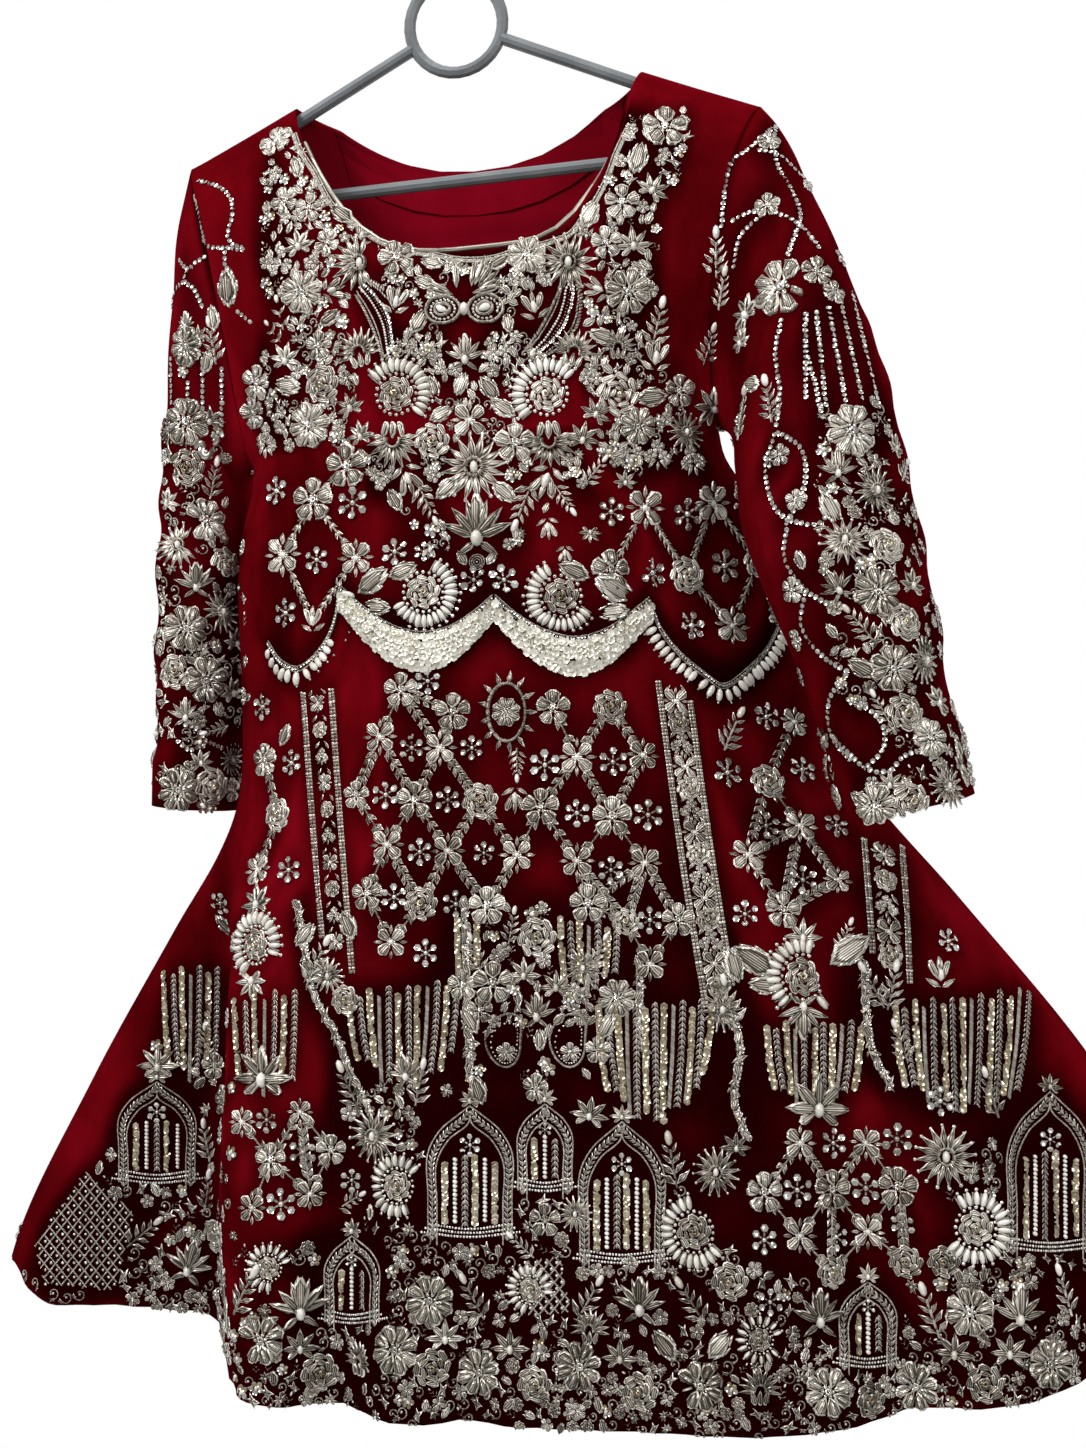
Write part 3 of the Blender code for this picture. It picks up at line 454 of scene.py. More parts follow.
# Neckline and scallops: lines at offsets from the edge, in pixels, and rows of the frill under a scallop
NECK_LINES = ((3.0, "cord"), (6.5, "coil"))
NECK_UNEVEN = 1.2
SCALLOP_EDGE = ((-2.5, "cord"), (0.0, "chain"), (2.5, "cord"))
FRILL_ROWS = 5
FRILL_START = 5.6
FRILL_GAP = 2.6
FRILL_SWELL = 3.1           # more between the rows at the scallop's middle

# Side seams, and the flat cut of each cloth: width and length in metres, and area in square metres
SIDE_SEAM_SIDES = 6
SIDE_SEAM_RADIUS = 0.0007
FLAT_CUT = {"front": (0.96, 0.88, 0.430), "back": (0.94, 0.88, 0.425),
            "left": (0.48, 0.43, 0.094), "right": (0.48, 0.46, 0.122)}

# Hand work as seen in the photo, in photo pixels: motif, x, y, half size and any turn in degrees
NECK_ROWS = (
    ("flower", 276, 141, 17), ("leaf", 297, 167, 13, 12), ("flower", 285, 201, 14, 20),
    ("flower", 309, 208, 14, -10), ("leaf", 342, 214, 14, 48), ("lily", 298, 243, 17, 8),
    ("flower", 327, 243, 13, 30), ("tulip", 362, 236, 13, -20), ("radial", 359, 263, 27),
    ("flower", 397, 257, 17, 15), ("flower8", 302, 292, 20), ("tulip", 332, 290, 15, -70),
    ("sprig", 279, 312, 17, 14), ("sprig", 272, 331, 14, 40), ("lily", 286, 357, 17, -10),
    ("flower", 319, 346, 13), ("shell", 359, 352, 23, 12), ("strip", 375, 318, 36, 24),
    ("tulip", 396, 302, 17, -12), ("leaf", 419, 321, 13, -30), ("leaf", 425, 282, 12, 64),
    ("leaf", 330, 318, 12, -60), ("knot", 343, 322, 8), ("flower", 665, 127, 21),
    ("leaf", 638, 158, 17, -14), ("flower", 622, 202, 16), ("lily", 654, 187, 17, -30),
    ("leaf", 590, 214, 16, -28), ("flower", 606, 243, 15, 10), ("lily", 633, 242, 19, 6),
    ("radial", 568, 262, 27), ("flower8", 527, 255, 18), ("flower8", 628, 292, 21, 10),
    ("tulip", 598, 289, 15, 70), ("spray", 658, 322, 24, -14), ("strip", 553, 318, 36, -28),
    ("tulip", 534, 307, 17, 12), ("shell", 574, 352, 22, -14), ("shell", 618, 347, 17),
    ("leaf", 508, 323, 10, 10), ("leaf", 602, 336, 13, 75), ("bow", 464, 309, 38), ("lotus", 465, 352, 20),
    ("leaf", 432, 262, 12, 70), ("leaf", 499, 262, 12, -64), ("leaf", 648, 132, 9, 10),
    ("knot", 610, 180, 7),
)
NECK_EDGE = (
    (299, 132), (306, 148), (317, 169), (335, 200), (350, 213), (366, 226), (386, 238), (408, 245),
    (432, 250), (460, 254), (490, 252), (520, 245), (545, 238), (566, 229), (580, 215), (592, 196),
    (602, 174), (612, 152), (622, 128),
)
NECK_CENTRE = (462, 90)
NECK_AREA = [
    (262, 120), (292, 128), (312, 170), (332, 205), (360, 230), (405, 252), (460, 262), (520, 254),
    (572, 238), (596, 208), (612, 172), (632, 118), (690, 108), (692, 148), (662, 200), (650, 300),
    (622, 300), (575, 275), (460, 270), (350, 275), (300, 300), (268, 330), (262, 240),
]
BIB_ROWS = (
    ("rose", 322, 384, 20), ("rose", 618, 394, 22, 30), ("leaf", 288, 386, 16, 76),
    ("leaf", 652, 397, 16, -84), ("flower", 257, 383, 16), ("flower", 254, 413, 15, 20),
    ("posy", 266, 440, 17), ("flower8", 309, 425, 21), ("lily", 349, 405, 15, 20),
    ("lily", 360, 433, 15, 10), ("shell", 393, 440, 26, 180), ("quatrefoil", 470, 420, 18),
    ("radial", 474, 467, 32), ("flower", 515, 443, 18), ("rose", 432, 441, 18),
    ("lily", 583, 436, 17, -12), ("lily", 597, 411, 16, -24), ("shell", 549, 440, 26, 184),
    ("tulip", 656, 358, 18, -8), ("flower8", 638, 426, 17), ("radial", 686, 432, 19),
    ("flower", 679, 391, 15), ("posy", 658, 455, 15), ("posy", 693, 460, 15, 20),
    ("tulip", 408, 478, 19, 200), ("tulip", 546, 480, 20, 160), ("lotus", 477, 525, 34),
    ("leaf", 433, 387, 12, 14), ("leaf", 441, 414, 12, -62), ("leaf", 489, 388, 14, 38),
    ("leaf", 503, 408, 14, 56), ("leaf", 461, 384, 12, -22), ("spray", 428, 505, 22, 206),
    ("spray", 522, 507, 24, 158), ("spray", 565, 500, 18, 214), ("leaf", 395, 500, 12, 30),
    ("leaf", 447, 488, 14, 130), ("leaf", 504, 492, 14, -130), ("knot", 575, 472, 7),
    ("spray", 596, 470, 18, -38), ("lily", 625, 480, 12), ("knot", 432, 530, 8),
    ("tulip", 548, 527, 13, 186), ("coils", 477, 562, 7), ("leaf", 462, 558, 8, 30),
    ("leaf", 491, 558, 8, -30),
)
BIB_FANS = ((396, 394, 37, -38, 176, 15), (547, 394, 37, 42, 176, 15))
BIB_AREA = [
    (262, 350), (300, 300), (350, 275), (460, 262), (575, 270), (622, 300), (662, 355), (702, 440),
    (640, 470), (560, 490), (520, 545), (430, 545), (385, 490), (330, 440), (256, 455), (243, 400),
]

WAIST_ROWS = (
    ("leaf", 373, 581, 19, -56), ("leaf", 377, 607, 15, -88), ("leaf", 403, 571, 15, -70),
    ("leaf", 614, 588, 22, 62), ("leaf", 613, 612, 16, 96), ("leaf", 574, 571, 16, 66),
    ("star", 474, 580, 13), ("star", 504, 580, 14, 10), ("star", 277, 491, 13), ("star", 353, 503, 15),
    ("star", 317, 560, 12), ("star", 395, 552, 13), ("star", 286, 613, 13), ("star", 611, 512, 13),
    ("star", 687, 514, 15), ("star", 652, 573, 15), ("star", 724, 566, 15), ("star", 691, 626, 14),
    ("star", 771, 608, 14), ("star", 741, 503, 12), ("star", 424, 552, 9), ("tulip", 430, 550, 10, 170),
    ("lily", 590, 535, 11, 180), ("tulip", 565, 553, 10, 180),
)
WAIST_NODES = (
    ("flower", 347, 466, 20), ("flower", 313, 500, 20), ("quatrefoil", 283, 555, 20),
    ("quatrefoil", 356, 558, 18), ("quatrefoil", 645, 508, 20), ("quatrefoil", 713, 503, 20),
    ("flower", 611, 571, 19), ("rose", 687, 575, 19), ("rose", 758, 561, 18), ("quatrefoil", 732, 626, 19),
    ("tulip", 313, 621, 15),
)
WAIST_FANS = ((423, 592, 36, 208, 214, 18), (561, 596, 37, 118, 208, 18))
INNER_SCALLOPS = (
    ((340, 588), (366, 611), (392, 627), (420, 634), (448, 629), (474, 613), (493, 597)),
    ((495, 597), (517, 616), (545, 632), (576, 639), (606, 631), (630, 615), (649, 600)),
)
OUTER_SCALLOPS = (
    ((339, 590), (334, 622), (320, 650), (297, 669), (281, 662), (268, 643)),
    ((650, 602), (660, 628), (680, 654), (704, 674), (723, 686), (745, 672), (766, 650), (781, 622)),
)

SKIRT_NODES = (
    ("flower", 401, 690, 16), ("flower", 453, 712, 17), ("flower", 553, 708, 16), ("rose", 610, 707, 17),
    ("quatrefoil", 380, 737, 17), ("quatrefoil", 440, 748, 17), ("quatrefoil", 577, 757, 18),
    ("quatrefoil", 643, 755, 16), ("flower", 356, 795, 13), ("flower", 415, 800, 17),
    ("rose", 480, 801, 18), ("flower", 541, 807, 17), ("flower", 612, 817, 18),
    ("quatrefoil", 387, 845, 17), ("quatrefoil", 448, 851, 17), ("quatrefoil", 517, 855, 17),
    ("quatrefoil", 577, 861, 17), ("quatrefoil", 645, 863, 16), ("flower", 367, 894, 15),
    ("rose", 421, 904, 17), ("flower", 487, 906, 17), ("flower", 588, 904, 17), ("rose", 626, 922, 14),
    ("flower", 678, 920, 15), ("quatrefoil", 391, 942, 16), ("quatrefoil", 650, 964, 16),
    ("flower", 265, 760, 15), ("rose", 278, 815, 17), ("quatrefoil", 258, 870, 16),
    ("quatrefoil", 794, 722, 15), ("rose", 767, 781, 18), ("quatrefoil", 800, 826, 17),
    ("quatrefoil", 748, 855, 18), ("flower", 783, 910, 17), ("quatrefoil", 838, 880, 14),
)
SKIRT_ROWS = (
    ("star", 428, 681, 12), ("star", 412, 748, 12), ("star", 386, 795, 13), ("star", 448, 800, 12),
    ("star", 420, 852, 12), ("star", 484, 853, 10), ("star", 394, 897, 12), ("star", 456, 904, 12),
    ("star", 426, 953, 12), ("star", 472, 748, 11), ("star", 545, 765, 14), ("star", 613, 762, 13),
    ("star", 577, 813, 12), ("star", 648, 815, 14), ("star", 611, 870, 12), ("star", 650, 920, 12),
    ("star", 263, 707, 12), ("star", 292, 763, 12), ("star", 289, 870, 12), ("star", 766, 717, 13),
    ("star", 727, 773, 14), ("star", 802, 770, 13), ("star", 766, 826, 13), ("star", 836, 826, 12),
    ("star", 803, 880, 13), ("star", 745, 914, 12), ("star", 221, 903, 11), ("star", 948, 941, 12),
    ("spray", 733, 729, 25, -24), ("tulip", 515, 798, 15, 180), ("spray", 517, 765, 16, 180),
    ("medallion", 506, 712, 33), ("leaf", 285, 735, 11, -30), ("leaf", 348, 925, 15, 25),
    ("lily", 257, 900, 19), ("lily", 252, 985, 18, 180), ("leaf", 225, 925, 12, 50),
    ("lily", 803, 934, 18), ("lotus", 803, 1016, 24, 180), ("leaf", 754, 960, 22, 58),
    ("leaf", 850, 950, 22, -52), ("leaf", 765, 985, 16, 84), ("spray", 872, 985, 24, 30),
    ("spray", 846, 935, 18, -20), ("spray", 893, 985, 24, -10), ("leaf", 733, 965, 18, 20),
    ("spray", 318, 960, 26, -28), ("radial", 328, 975, 17), ("rose", 345, 1000, 15),
    ("spray", 728, 1000, 26, 14), ("radial", 722, 1010, 20), ("leaf", 305, 935, 14, -40),
    ("tulip", 940, 975, 18, 6), ("spray", 900, 1040, 20, 20),
)
SKIRT_FANS = ((256, 945, 34, -20, 250, 17), (803, 977, 40, -50, 280, 21))
STRIPS = (
    (((303, 692), (312, 815), (322, 938)), ((331, 688), (341, 830), (352, 972)), 23.0),
    (((658, 680), (680, 845), (706, 1008)), ((690, 700), (710, 845), (732, 985)), 23.0),
    (((864, 838), (869, 900), (873, 955)), ((902, 846), (907, 915), (910, 985)), 22.0),
)
BAR_GROUPS = (
    (160, 222, (972, 968), (1056, 1062, 18), 8.8),
    (230, 300, (1000, 990), (1064, 1070, 24), 8.8),
    (345, 462, (996, 980), (1050, 1052, 34), 9.2),
    (453, 482, (918, 920), (968, 962, 8), 8.8),
    (556, 622, (916, 926), (974, 968, 18), 8.8),
    (594, 716, (1006, 1002), (1082, 1074, 40), 9.2),
    (762, 866, (1026, 1022), (1078, 1080, 34), 9.2),
    (890, 1034, (1006, 990), (1080, 1086, 26), 9.2),
)
POSY_ROWS = (
    ("rose", 537, 938, 20), ("flower", 493, 983, 19), ("flower8", 617, 998, 17), ("lily", 524, 972, 17),
    ("lily", 556, 984, 17), ("radial", 583, 968, 18), ("paisley", 506, 1052, 27),
    ("paisley", 570, 1052, 27), ("lotus", 537, 1010, 19), ("spray", 475, 952, 19, 18),
    ("spray", 512, 925, 18, -10), ("spray", 600, 950, 17, -24), ("flower", 463, 985, 14),
    ("flower", 536, 1088, 13), ("leaf", 470, 1020, 14, 30), ("leaf", 606, 1026, 14, -30),
    ("flower", 480, 1010, 12), ("flower", 598, 1050, 12), ("leaf", 540, 1040, 11),
)
POSY_AREA = [(455, 960), (500, 905), (560, 905), (625, 985), (612, 1075), (470, 1075)]

# Hem band: arches (middle, top, bottom, half width), then flowers, nodes and filled regions
ARCH_ROWS = (
    (157, 1082, 1182, 38), (470, 1106, 1236, 42), (545, 1104, 1190, 27), (622, 1122, 1262, 42),
    (352, 1236, 1322, 27), (868, 1282, 1366, 28), (1050, 1092, 1250, 42),
)
HEM_FANS = (
    (397, 1186, 31, 40, 250, 15), (694, 1232, 36, 100, 250, 18), (976, 1228, 36, -140, 260, 18),
    (268, 1268, 24, 20, 250, 13), (760, 1340, 24, 20, 300, 14), (530, 1290, 25, 0, 250, 14),
)
HEM_NODES = (
    ("quatrefoil", 800, 1143, 16), ("quatrefoil", 866, 1143, 16), ("flower", 764, 1193, 18),
    ("flower", 832, 1190, 18), ("flower", 898, 1187, 18), ("quatrefoil", 800, 1236, 16),
    ("quatrefoil", 868, 1232, 16), ("rose", 832, 1272, 16), ("rose", 906, 1262, 17),
    ("flower", 271, 1160, 15), ("flower", 331, 1150, 14), ("quatrefoil", 242, 1122, 14),
    ("quatrefoil", 310, 1194, 15), ("quatrefoil", 252, 1208, 15), ("quatrefoil", 300, 1112, 13),
)
HEM_ROWS_SEEN = (
    ("lily", 158, 1062, 20), ("knot", 157, 1046, 7), ("lily", 263, 1072, 31), ("lily", 818, 1102, 32),
    ("radial", 373, 1136, 25), ("radial", 946, 1157, 29), ("spray", 990, 1092, 24, 22),
    ("lily", 590, 1112, 19, -8), ("leaf", 478, 1090, 15, 18), ("spray", 420, 1082, 22, -12),
    ("star", 303, 1152, 13), ("star", 281, 1204, 14), ("star", 267, 1120, 11), ("star", 352, 1180, 11),
    ("star", 797, 1190, 14), ("star", 866, 1188, 14), ("star", 764, 1240, 13), ("star", 836, 1237, 12),
    ("star", 897, 1139, 14), ("star", 940, 1101, 13), ("star", 833, 1143, 13), ("star", 903, 1224, 11),
    ("star", 770, 1302, 12), ("spray", 672, 1160, 26, 10), ("radial", 716, 1172, 22),
    ("radial", 575, 1214, 16), ("flower", 545, 1220, 15), ("spray", 520, 1245, 17, 50),
    ("lily", 736, 1145, 15), ("spray", 348, 1085, 24, 24), ("lotus", 405, 1070, 18, 10),
    ("rose", 730, 1282, 19), ("rose", 944, 1262, 16), ("lotus", 300, 1302, 30),
    ("spray", 245, 1290, 26, -30), ("spray", 352, 1200, 18, -60), ("lotus", 640, 1300, 26),
    ("spray", 590, 1298, 24, -30), ("spray", 690, 1300, 24, 34), ("lotus", 820, 1312, 26),
    ("spray", 930, 1310, 26, 20), ("flower8", 970, 1312, 22), ("lotus", 1020, 1310, 26),
    ("spray", 1064, 1290, 24, 24), ("flower8", 430, 1300, 22), ("spray", 472, 1296, 24, 28),
    ("lotus", 190, 1262, 24, -14), ("spray", 145, 1232, 22, -50), ("rose", 215, 1236, 17),
    ("spray", 208, 1190, 20, -10), ("spray", 206, 1140, 20, 10), ("flower", 222, 1100, 13),
    ("flower", 215, 1066, 12), ("spray", 205, 1040, 16), ("flower8", 395, 1350, 22),
    ("flower8", 580, 1366, 22), ("flower8", 700, 1386, 22), ("flower8", 260, 1340, 22),
    ("flower8", 480, 1372, 21), ("flower8", 1050, 1364, 22), ("flower8", 916, 1386, 22),
    ("flower8", 828, 1392, 22), ("rose", 320, 1372, 19), ("rose", 640, 1392, 19), ("rose", 985, 1384, 19),
    ("rose", 432, 1368, 19), ("rose", 870, 1400, 18), ("rose", 535, 1384, 18), ("shell", 760, 1390, 20),
    ("shell", 360, 1362, 19), ("shell", 590, 1330, 19), ("leaf", 665, 1345, 17, 40),
    ("leaf", 720, 1345, 17, -40), ("lily", 445, 1335, 19), ("lily", 955, 1350, 20),
    ("lily", 1010, 1350, 19), ("lily", 510, 1345, 19), ("lily", 300, 1345, 18), ("lily", 620, 1355, 18),
)
DIAPER_ROWS = (
    (((84, 1170), (134, 1212), (116, 1292), (44, 1284), (34, 1246)), 11.5),
    (((520, 1262), (560, 1256), (572, 1312), (528, 1316)), 10.5),
)
LOWER_AREA = [
    (36, 1238), (96, 1172), (130, 1130), (112, 1100), (200, 1050), (232, 1060), (236, 1236), (262, 1252),
    (345, 1240), (360, 1215), (418, 1170), (425, 1110), (522, 1098), (575, 1110), (668, 1140), (690, 1190),
    (742, 1266), (838, 1292), (940, 1280), (940, 1200), (1004, 1120), (1086, 1085), (1090, 1440),
    (240, 1440), (200, 1340), (150, 1325), (60, 1310), (20, 1280),
]
UPPER_HEM_AREA = [(340, 1090), (430, 1080), (470, 1098), (425, 1120), (420, 1170), (350, 1150)]
EDGE_SETS = (
    "flower", "curl", "leaf", "knot", "curl", "bud", "quatrefoil", "sprig", "rose", "curl", "bud", "lily",
)

# Sleeves as seen in the photo
RIGHT_ROWS = (
    ("flower", 769, 141, 11), ("flower", 767, 205, 12), ("leaf", 808, 186, 12, -20),
    ("flower", 812, 185, 8), ("flower8", 781, 287, 29), ("flower", 817, 271, 15),
    ("lily", 745, 312, 20, 30), ("spray", 716, 252, 24), ("spray", 722, 288, 20, -14),
    ("lily", 741, 340, 15, 10), ("spray", 710, 344, 20, -18), ("lily", 711, 405, 22, 30),
    ("spray", 742, 412, 26, -36), ("spray", 768, 398, 24, 10), ("leaf", 752, 384, 14, 60),
    ("tulip", 838, 245, 14, -10), ("flower", 834, 292, 12), ("flower8", 852, 430, 25),
    ("radial", 876, 490, 23), ("lotus", 838, 466, 20), ("leaf", 830, 508, 17, 30),
    ("radial", 845, 540, 24), ("rose", 888, 545, 20), ("lily", 895, 445, 15), ("spray", 905, 470, 20, -14),
    ("lotus", 836, 585, 18, 30), ("flower8", 878, 592, 23), ("lily", 912, 582, 17), ("rose", 905, 622, 20),
    ("spray", 858, 622, 22, 40), ("radial", 925, 660, 22), ("flower8", 893, 668, 22),
    ("leaf", 862, 668, 15, 60), ("lily", 938, 700, 18), ("rose", 906, 712, 20),
    ("spray", 880, 706, 18, 30), ("flower8", 930, 738, 19), ("flower", 780, 455, 10),
    ("flower", 796, 500, 10), ("star", 770, 460, 8), ("flower", 792, 590, 12), ("flower", 796, 640, 10),
    ("leaf", 800, 560, 10, 20), ("flower8", 876, 806, 20), ("rose", 912, 802, 20),
    ("radial", 948, 786, 22), ("lily", 960, 765, 15), ("lily", 890, 782, 14), ("shell", 930, 812, 15),
    ("flower", 896, 822, 11), ("flower", 962, 806, 11), ("leaf", 860, 800, 12, 60),
)
RIGHT_AREA = [
    (822, 405), (878, 400), (900, 440), (925, 520), (942, 600), (962, 690), (962, 758), (905, 745),
    (872, 720), (842, 690), (830, 640), (822, 560), (816, 480),
]
RIGHT_CUFF = [(852, 786), (900, 772), (965, 752), (974, 790), (972, 812), (920, 828), (884, 830), (858, 812)]
RIGHT_CHAINS = (
    ((779, 112), (774, 138), (777, 165), (789, 186), (800, 215), (792, 244), (786, 258)),
    ((773, 128), (748, 150), (731, 163), (724, 196), (722, 228)),
    ((757, 150), (780, 156), (800, 175), (818, 190), (829, 214), (838, 240)),
    ((731, 222), (752, 212), (776, 213), (800, 226), (822, 252)),
    ((764, 214), (741, 236), (734, 268)),
    ((850, 236), (828, 212)),
    ((806, 312), (806, 350), (817, 392), (822, 420)),
    ((782, 318), (776, 352), (780, 392), (776, 430)),
    ((776, 432), (800, 446), (806, 470), (800, 500), (788, 520)),
    ((776, 432), (766, 470), (778, 512), (788, 520)),
    ((788, 520), (786, 560), (806, 590), (832, 606)),
    ((788, 520), (818, 524), (834, 500)),
    ((806, 590), (802, 625), (822, 655), (848, 672)),
    ((848, 672), (830, 700), (832, 735), (852, 762)),
    ((852, 700), (880, 720), (884, 748), (866, 768)),
    ((832, 735), (870, 770), (890, 772)),
    ((890, 772), (904, 756), (922, 752), (934, 764)),
)
RIGHT_FALLS = (
    (805, 312, 806, 398), (816, 310, 826, 410), (828, 306, 846, 404), (840, 300, 862, 400),
    (851, 290, 878, 404),
)
LEFT_ROWS = (
    ("flower8", 186, 346, 19), ("lotus", 186, 322, 11), ("leaf", 228, 288, 19, 4),
    ("spray", 212, 340, 22, 10), ("leaf", 213, 318, 12, 10), ("leaf", 207, 362, 11, -12),
    ("lily", 198, 334, 11), ("knot", 184, 372, 7), ("flower8", 186, 422, 22), ("lily", 210, 418, 15),
    ("radial", 170, 428, 15), ("rose", 186, 468, 19), ("sequin", 206, 452, 8), ("sequin", 214, 440, 6),
    ("sequin", 200, 446, 6), ("spray", 214, 478, 20, -10), ("radial", 178, 545, 22),
    ("flower8", 205, 520, 20), ("lily", 168, 500, 15), ("lotus", 196, 580, 20), ("rose", 226, 565, 19),
    ("radial", 222, 612, 20), ("flower8", 186, 628, 21), ("lily", 236, 640, 15), ("rose", 175, 672, 18),
    ("flower8", 206, 680, 21), ("lily", 232, 690, 15, 10), ("lotus", 185, 712, 16),
    ("spray", 215, 730, 16, 90), ("flower8", 178, 790, 20), ("rose", 212, 786, 20),
    ("radial", 232, 760, 15), ("lily", 200, 760, 14), ("shell", 176, 810, 13), ("flower", 232, 790, 11),
    ("flower", 206, 812, 10),
)
LEFT_AREA = [
    (160, 404), (222, 400), (228, 470), (226, 540), (248, 560), (250, 650), (250, 715), (200, 745),
    (158, 735), (154, 640), (156, 520),
]
LEFT_CUFF = [(154, 770), (200, 752), (244, 748), (243, 792), (200, 820), (160, 818)]
SLEEVE_SEQUIN = 1.6         # half the width of the sequins in the sleeves' chains, mm
LEFT_CHAINS = (
    ((197, 181), (207, 183), (220, 188), (230, 197), (233, 211), (231, 223), (228, 235), (232, 244),
     (245, 248)),
    ((245, 250), (232, 248), (219, 248), (207, 245), (203, 231), (199, 212), (195, 196)),
    ((226, 250), (225, 262), (229, 272)),
    ((236, 310), (245, 317), (251, 322)),
    ((207, 256), (197, 262), (188, 269), (180, 260)),
    ((188, 269), (185, 281), (193, 288), (201, 302), (203, 309)),
    ((185, 281), (178, 287), (174, 295)),
    ((176, 740), (190, 750), (206, 742), (222, 748)),
    ((206, 742), (196, 728), (180, 724)),
)
LEFT_FALLS = ((171, 356, 172, 404), (188, 380, 188, 402), (203, 360, 203, 410), (222, 366, 222, 436))

# Hidden sides, guessed: rises above the hem or cuff and gap along the cloth (metres), then motifs
# and their size (mm)
UNSEEN_TURN = -0.28         # cloth turned further from the camera than this counts as hidden
BACK_BORDER = (
    (0.014, 0.017, ("flower", "rose", "flower8", "quatrefoil"), 8.0),
    (0.034, 0.021, ("lily", "flower8", "leaf", "rose"), 9.0),
    (0.056, 0.024, ("lotus", "sprig", "flower", "sprig"), 9.0),
    (0.082, 0.048, ("flower", "star"), 7.0),
)
BACK_SCATTER = ((0.13, 0.70, 0.052), 0.055, ("flower", "star"), 6.0)
CUFF_BORDER = (
    (0.010, 0.015, ("flower", "rose", "lily", "flower8"), 7.5),
    (0.027, 0.019, ("flower8", "leaf", "rose", "sprig"), 8.0),
    (0.048, 0.024, ("lily", "knot", "flower", "bud"), 7.5),
)
SLEEVE_SCATTER = ((0.085, 0.38, 0.042), 0.045, ("star", "flower"), 6.0)


def named(rows, columns):
    """A table's rows as dictionaries."""
    return [dict(zip(columns, row)) for row in rows]


def smooth(x):
    """A soft step from 0 to 1 while x runs from 0 to 1."""
    x = np.clip(x, 0.0, 1.0)
    return x * x * (3.0 - 2.0 * x)


def through(x, xs, ys):
    """A smooth curve through the points of a table, read at x; beyond the ends it stays level."""
    xs, ys = np.asarray(xs, float), np.asarray(ys, float)
    step = np.diff(xs)
    rate = np.diff(ys) / step
    slope = np.concatenate(([rate[0]], (rate[1:] + rate[:-1]) / 2.0, [rate[-1]]))
    x = np.clip(x, xs[0], xs[-1])
    i = np.clip(np.searchsorted(xs, x, side="right") - 1, 0, len(step) - 1)
    h = step[i]
    t = (x - xs[i]) / h
    return (ys[i] * (1 + 2 * t) * (1 - t) ** 2 + slope[i] * h * t * (1 - t) ** 2
            + ys[i + 1] * t * t * (3 - 2 * t) + slope[i + 1] * h * t * t * (t - 1))


def body_value(name, z):
    """One column of the body table at height z."""
    rows = named(BODY_ROWS, BODY_COLUMNS)[::-1]
    return through(z, [row["z"] for row in rows], [row[name] for row in rows])


def shoulder_z(x):
    """Height of the shoulder line at a distance from the middle."""
    return NECK_POINT_Z - SHOULDER_SLOPE * (np.maximum(np.abs(x), SHOULDER_START) - NECK_X)


def neckline_drop(side, across):
    """How far the neckline hangs under the shoulder line; 0 from the neck points outwards."""
    share = np.clip(across / NECK_SHARE, -1.0, 1.0)
    if side == "back":
        return BACK_NECK_DROP * (1.0 - np.abs(share) ** BACK_NECK_POWER)
    left_half = share < FRONT_NECK_LOW
    reach = np.where(left_half, 1.0 + FRONT_NECK_LOW, 1.0 - FRONT_NECK_LOW)
    power = np.where(left_half, *FRONT_NECK_POWER)
    return FRONT_NECK_DROP * (1.0 - (np.abs(share - FRONT_NECK_LOW) / reach) ** power)


def armhole(side, turn):
    """The armhole's loop: turn 0 at the shoulder tip, pi under the arm, minus at the back."""
    down = (1.0 - np.cos(turn)) / 2.0
    tip_z = shoulder_z(TIP_X[side])
    z = tip_z + (UNDERARM_Z - tip_z) * down
    x = UNDERARM_X + (TIP_X[side] - UNDERARM_X) * (1.0 - down) ** ARMHOLE_CUT
    depth = np.where(turn >= 0, ARMHOLE_DEPTH["front"], ARMHOLE_DEPTH["back"])
    sign = 1.0 if side == "right" else -1.0
    return np.stack([sign * x, -depth * np.sin(turn), z], -1)


def armhole_frame(side, turn):
    """The seam's outward normal and its direction into the sleeve, shared by both its pieces."""
    sign = 1.0 if side == "right" else -1.0
    tiny = 1e-4
    along = armhole(side, turn + tiny) - armhole(side, turn - tiny)
    ends = (np.abs(np.sin(turn)) < 1e-6)[..., None]
    along = np.where(ends, np.array([0.0, 1.0, 0.0]), along)
    along = along / np.linalg.norm(along, axis=-1, keepdims=True)
    lean = SHOULDER_SLOPE * sign * (1.0 + np.cos(turn)) / 2.0
    normal = np.stack([lean, -np.sin(turn), np.cos(turn)], -1)
    normal = normal - (normal * along).sum(-1, keepdims=True) * along
    normal = normal / np.linalg.norm(normal, axis=-1, keepdims=True)
    into = np.cross(normal, along)
    into = into * np.sign(into[..., :1]) * sign
    return normal, into


def hem_z(across):
    """Height of the hem at a place across a panel."""
    rows = named(HEM_ROWS, HEM_COLUMNS)
    return HEM_Z + through(across, [row["across"] for row in rows], [row["rise"] for row in rows])


def fold_offset(side, across, z):
    """How far the folds push the cloth out of its plain section."""
    out = np.zeros_like(z)
    for fold in named(FOLD_ROWS, FOLD_COLUMNS):
        if fold["side"] != side:
            continue
        grown = np.clip((fold["start"] - z) / (fold["start"] - HEM_Z), 0.0, 1.0)
        place = fold["across_top"] + (fold["across_hem"] - fold["across_top"]) * grown
        bell = np.exp(-((across - place) / fold["half_width"]) ** 2)
        out = out + fold["depth"] * grown ** FOLD_GROWTH * bell
    return out * np.clip((1.0 - np.abs(across)) / FOLD_FADE, 0.0, 1.0)


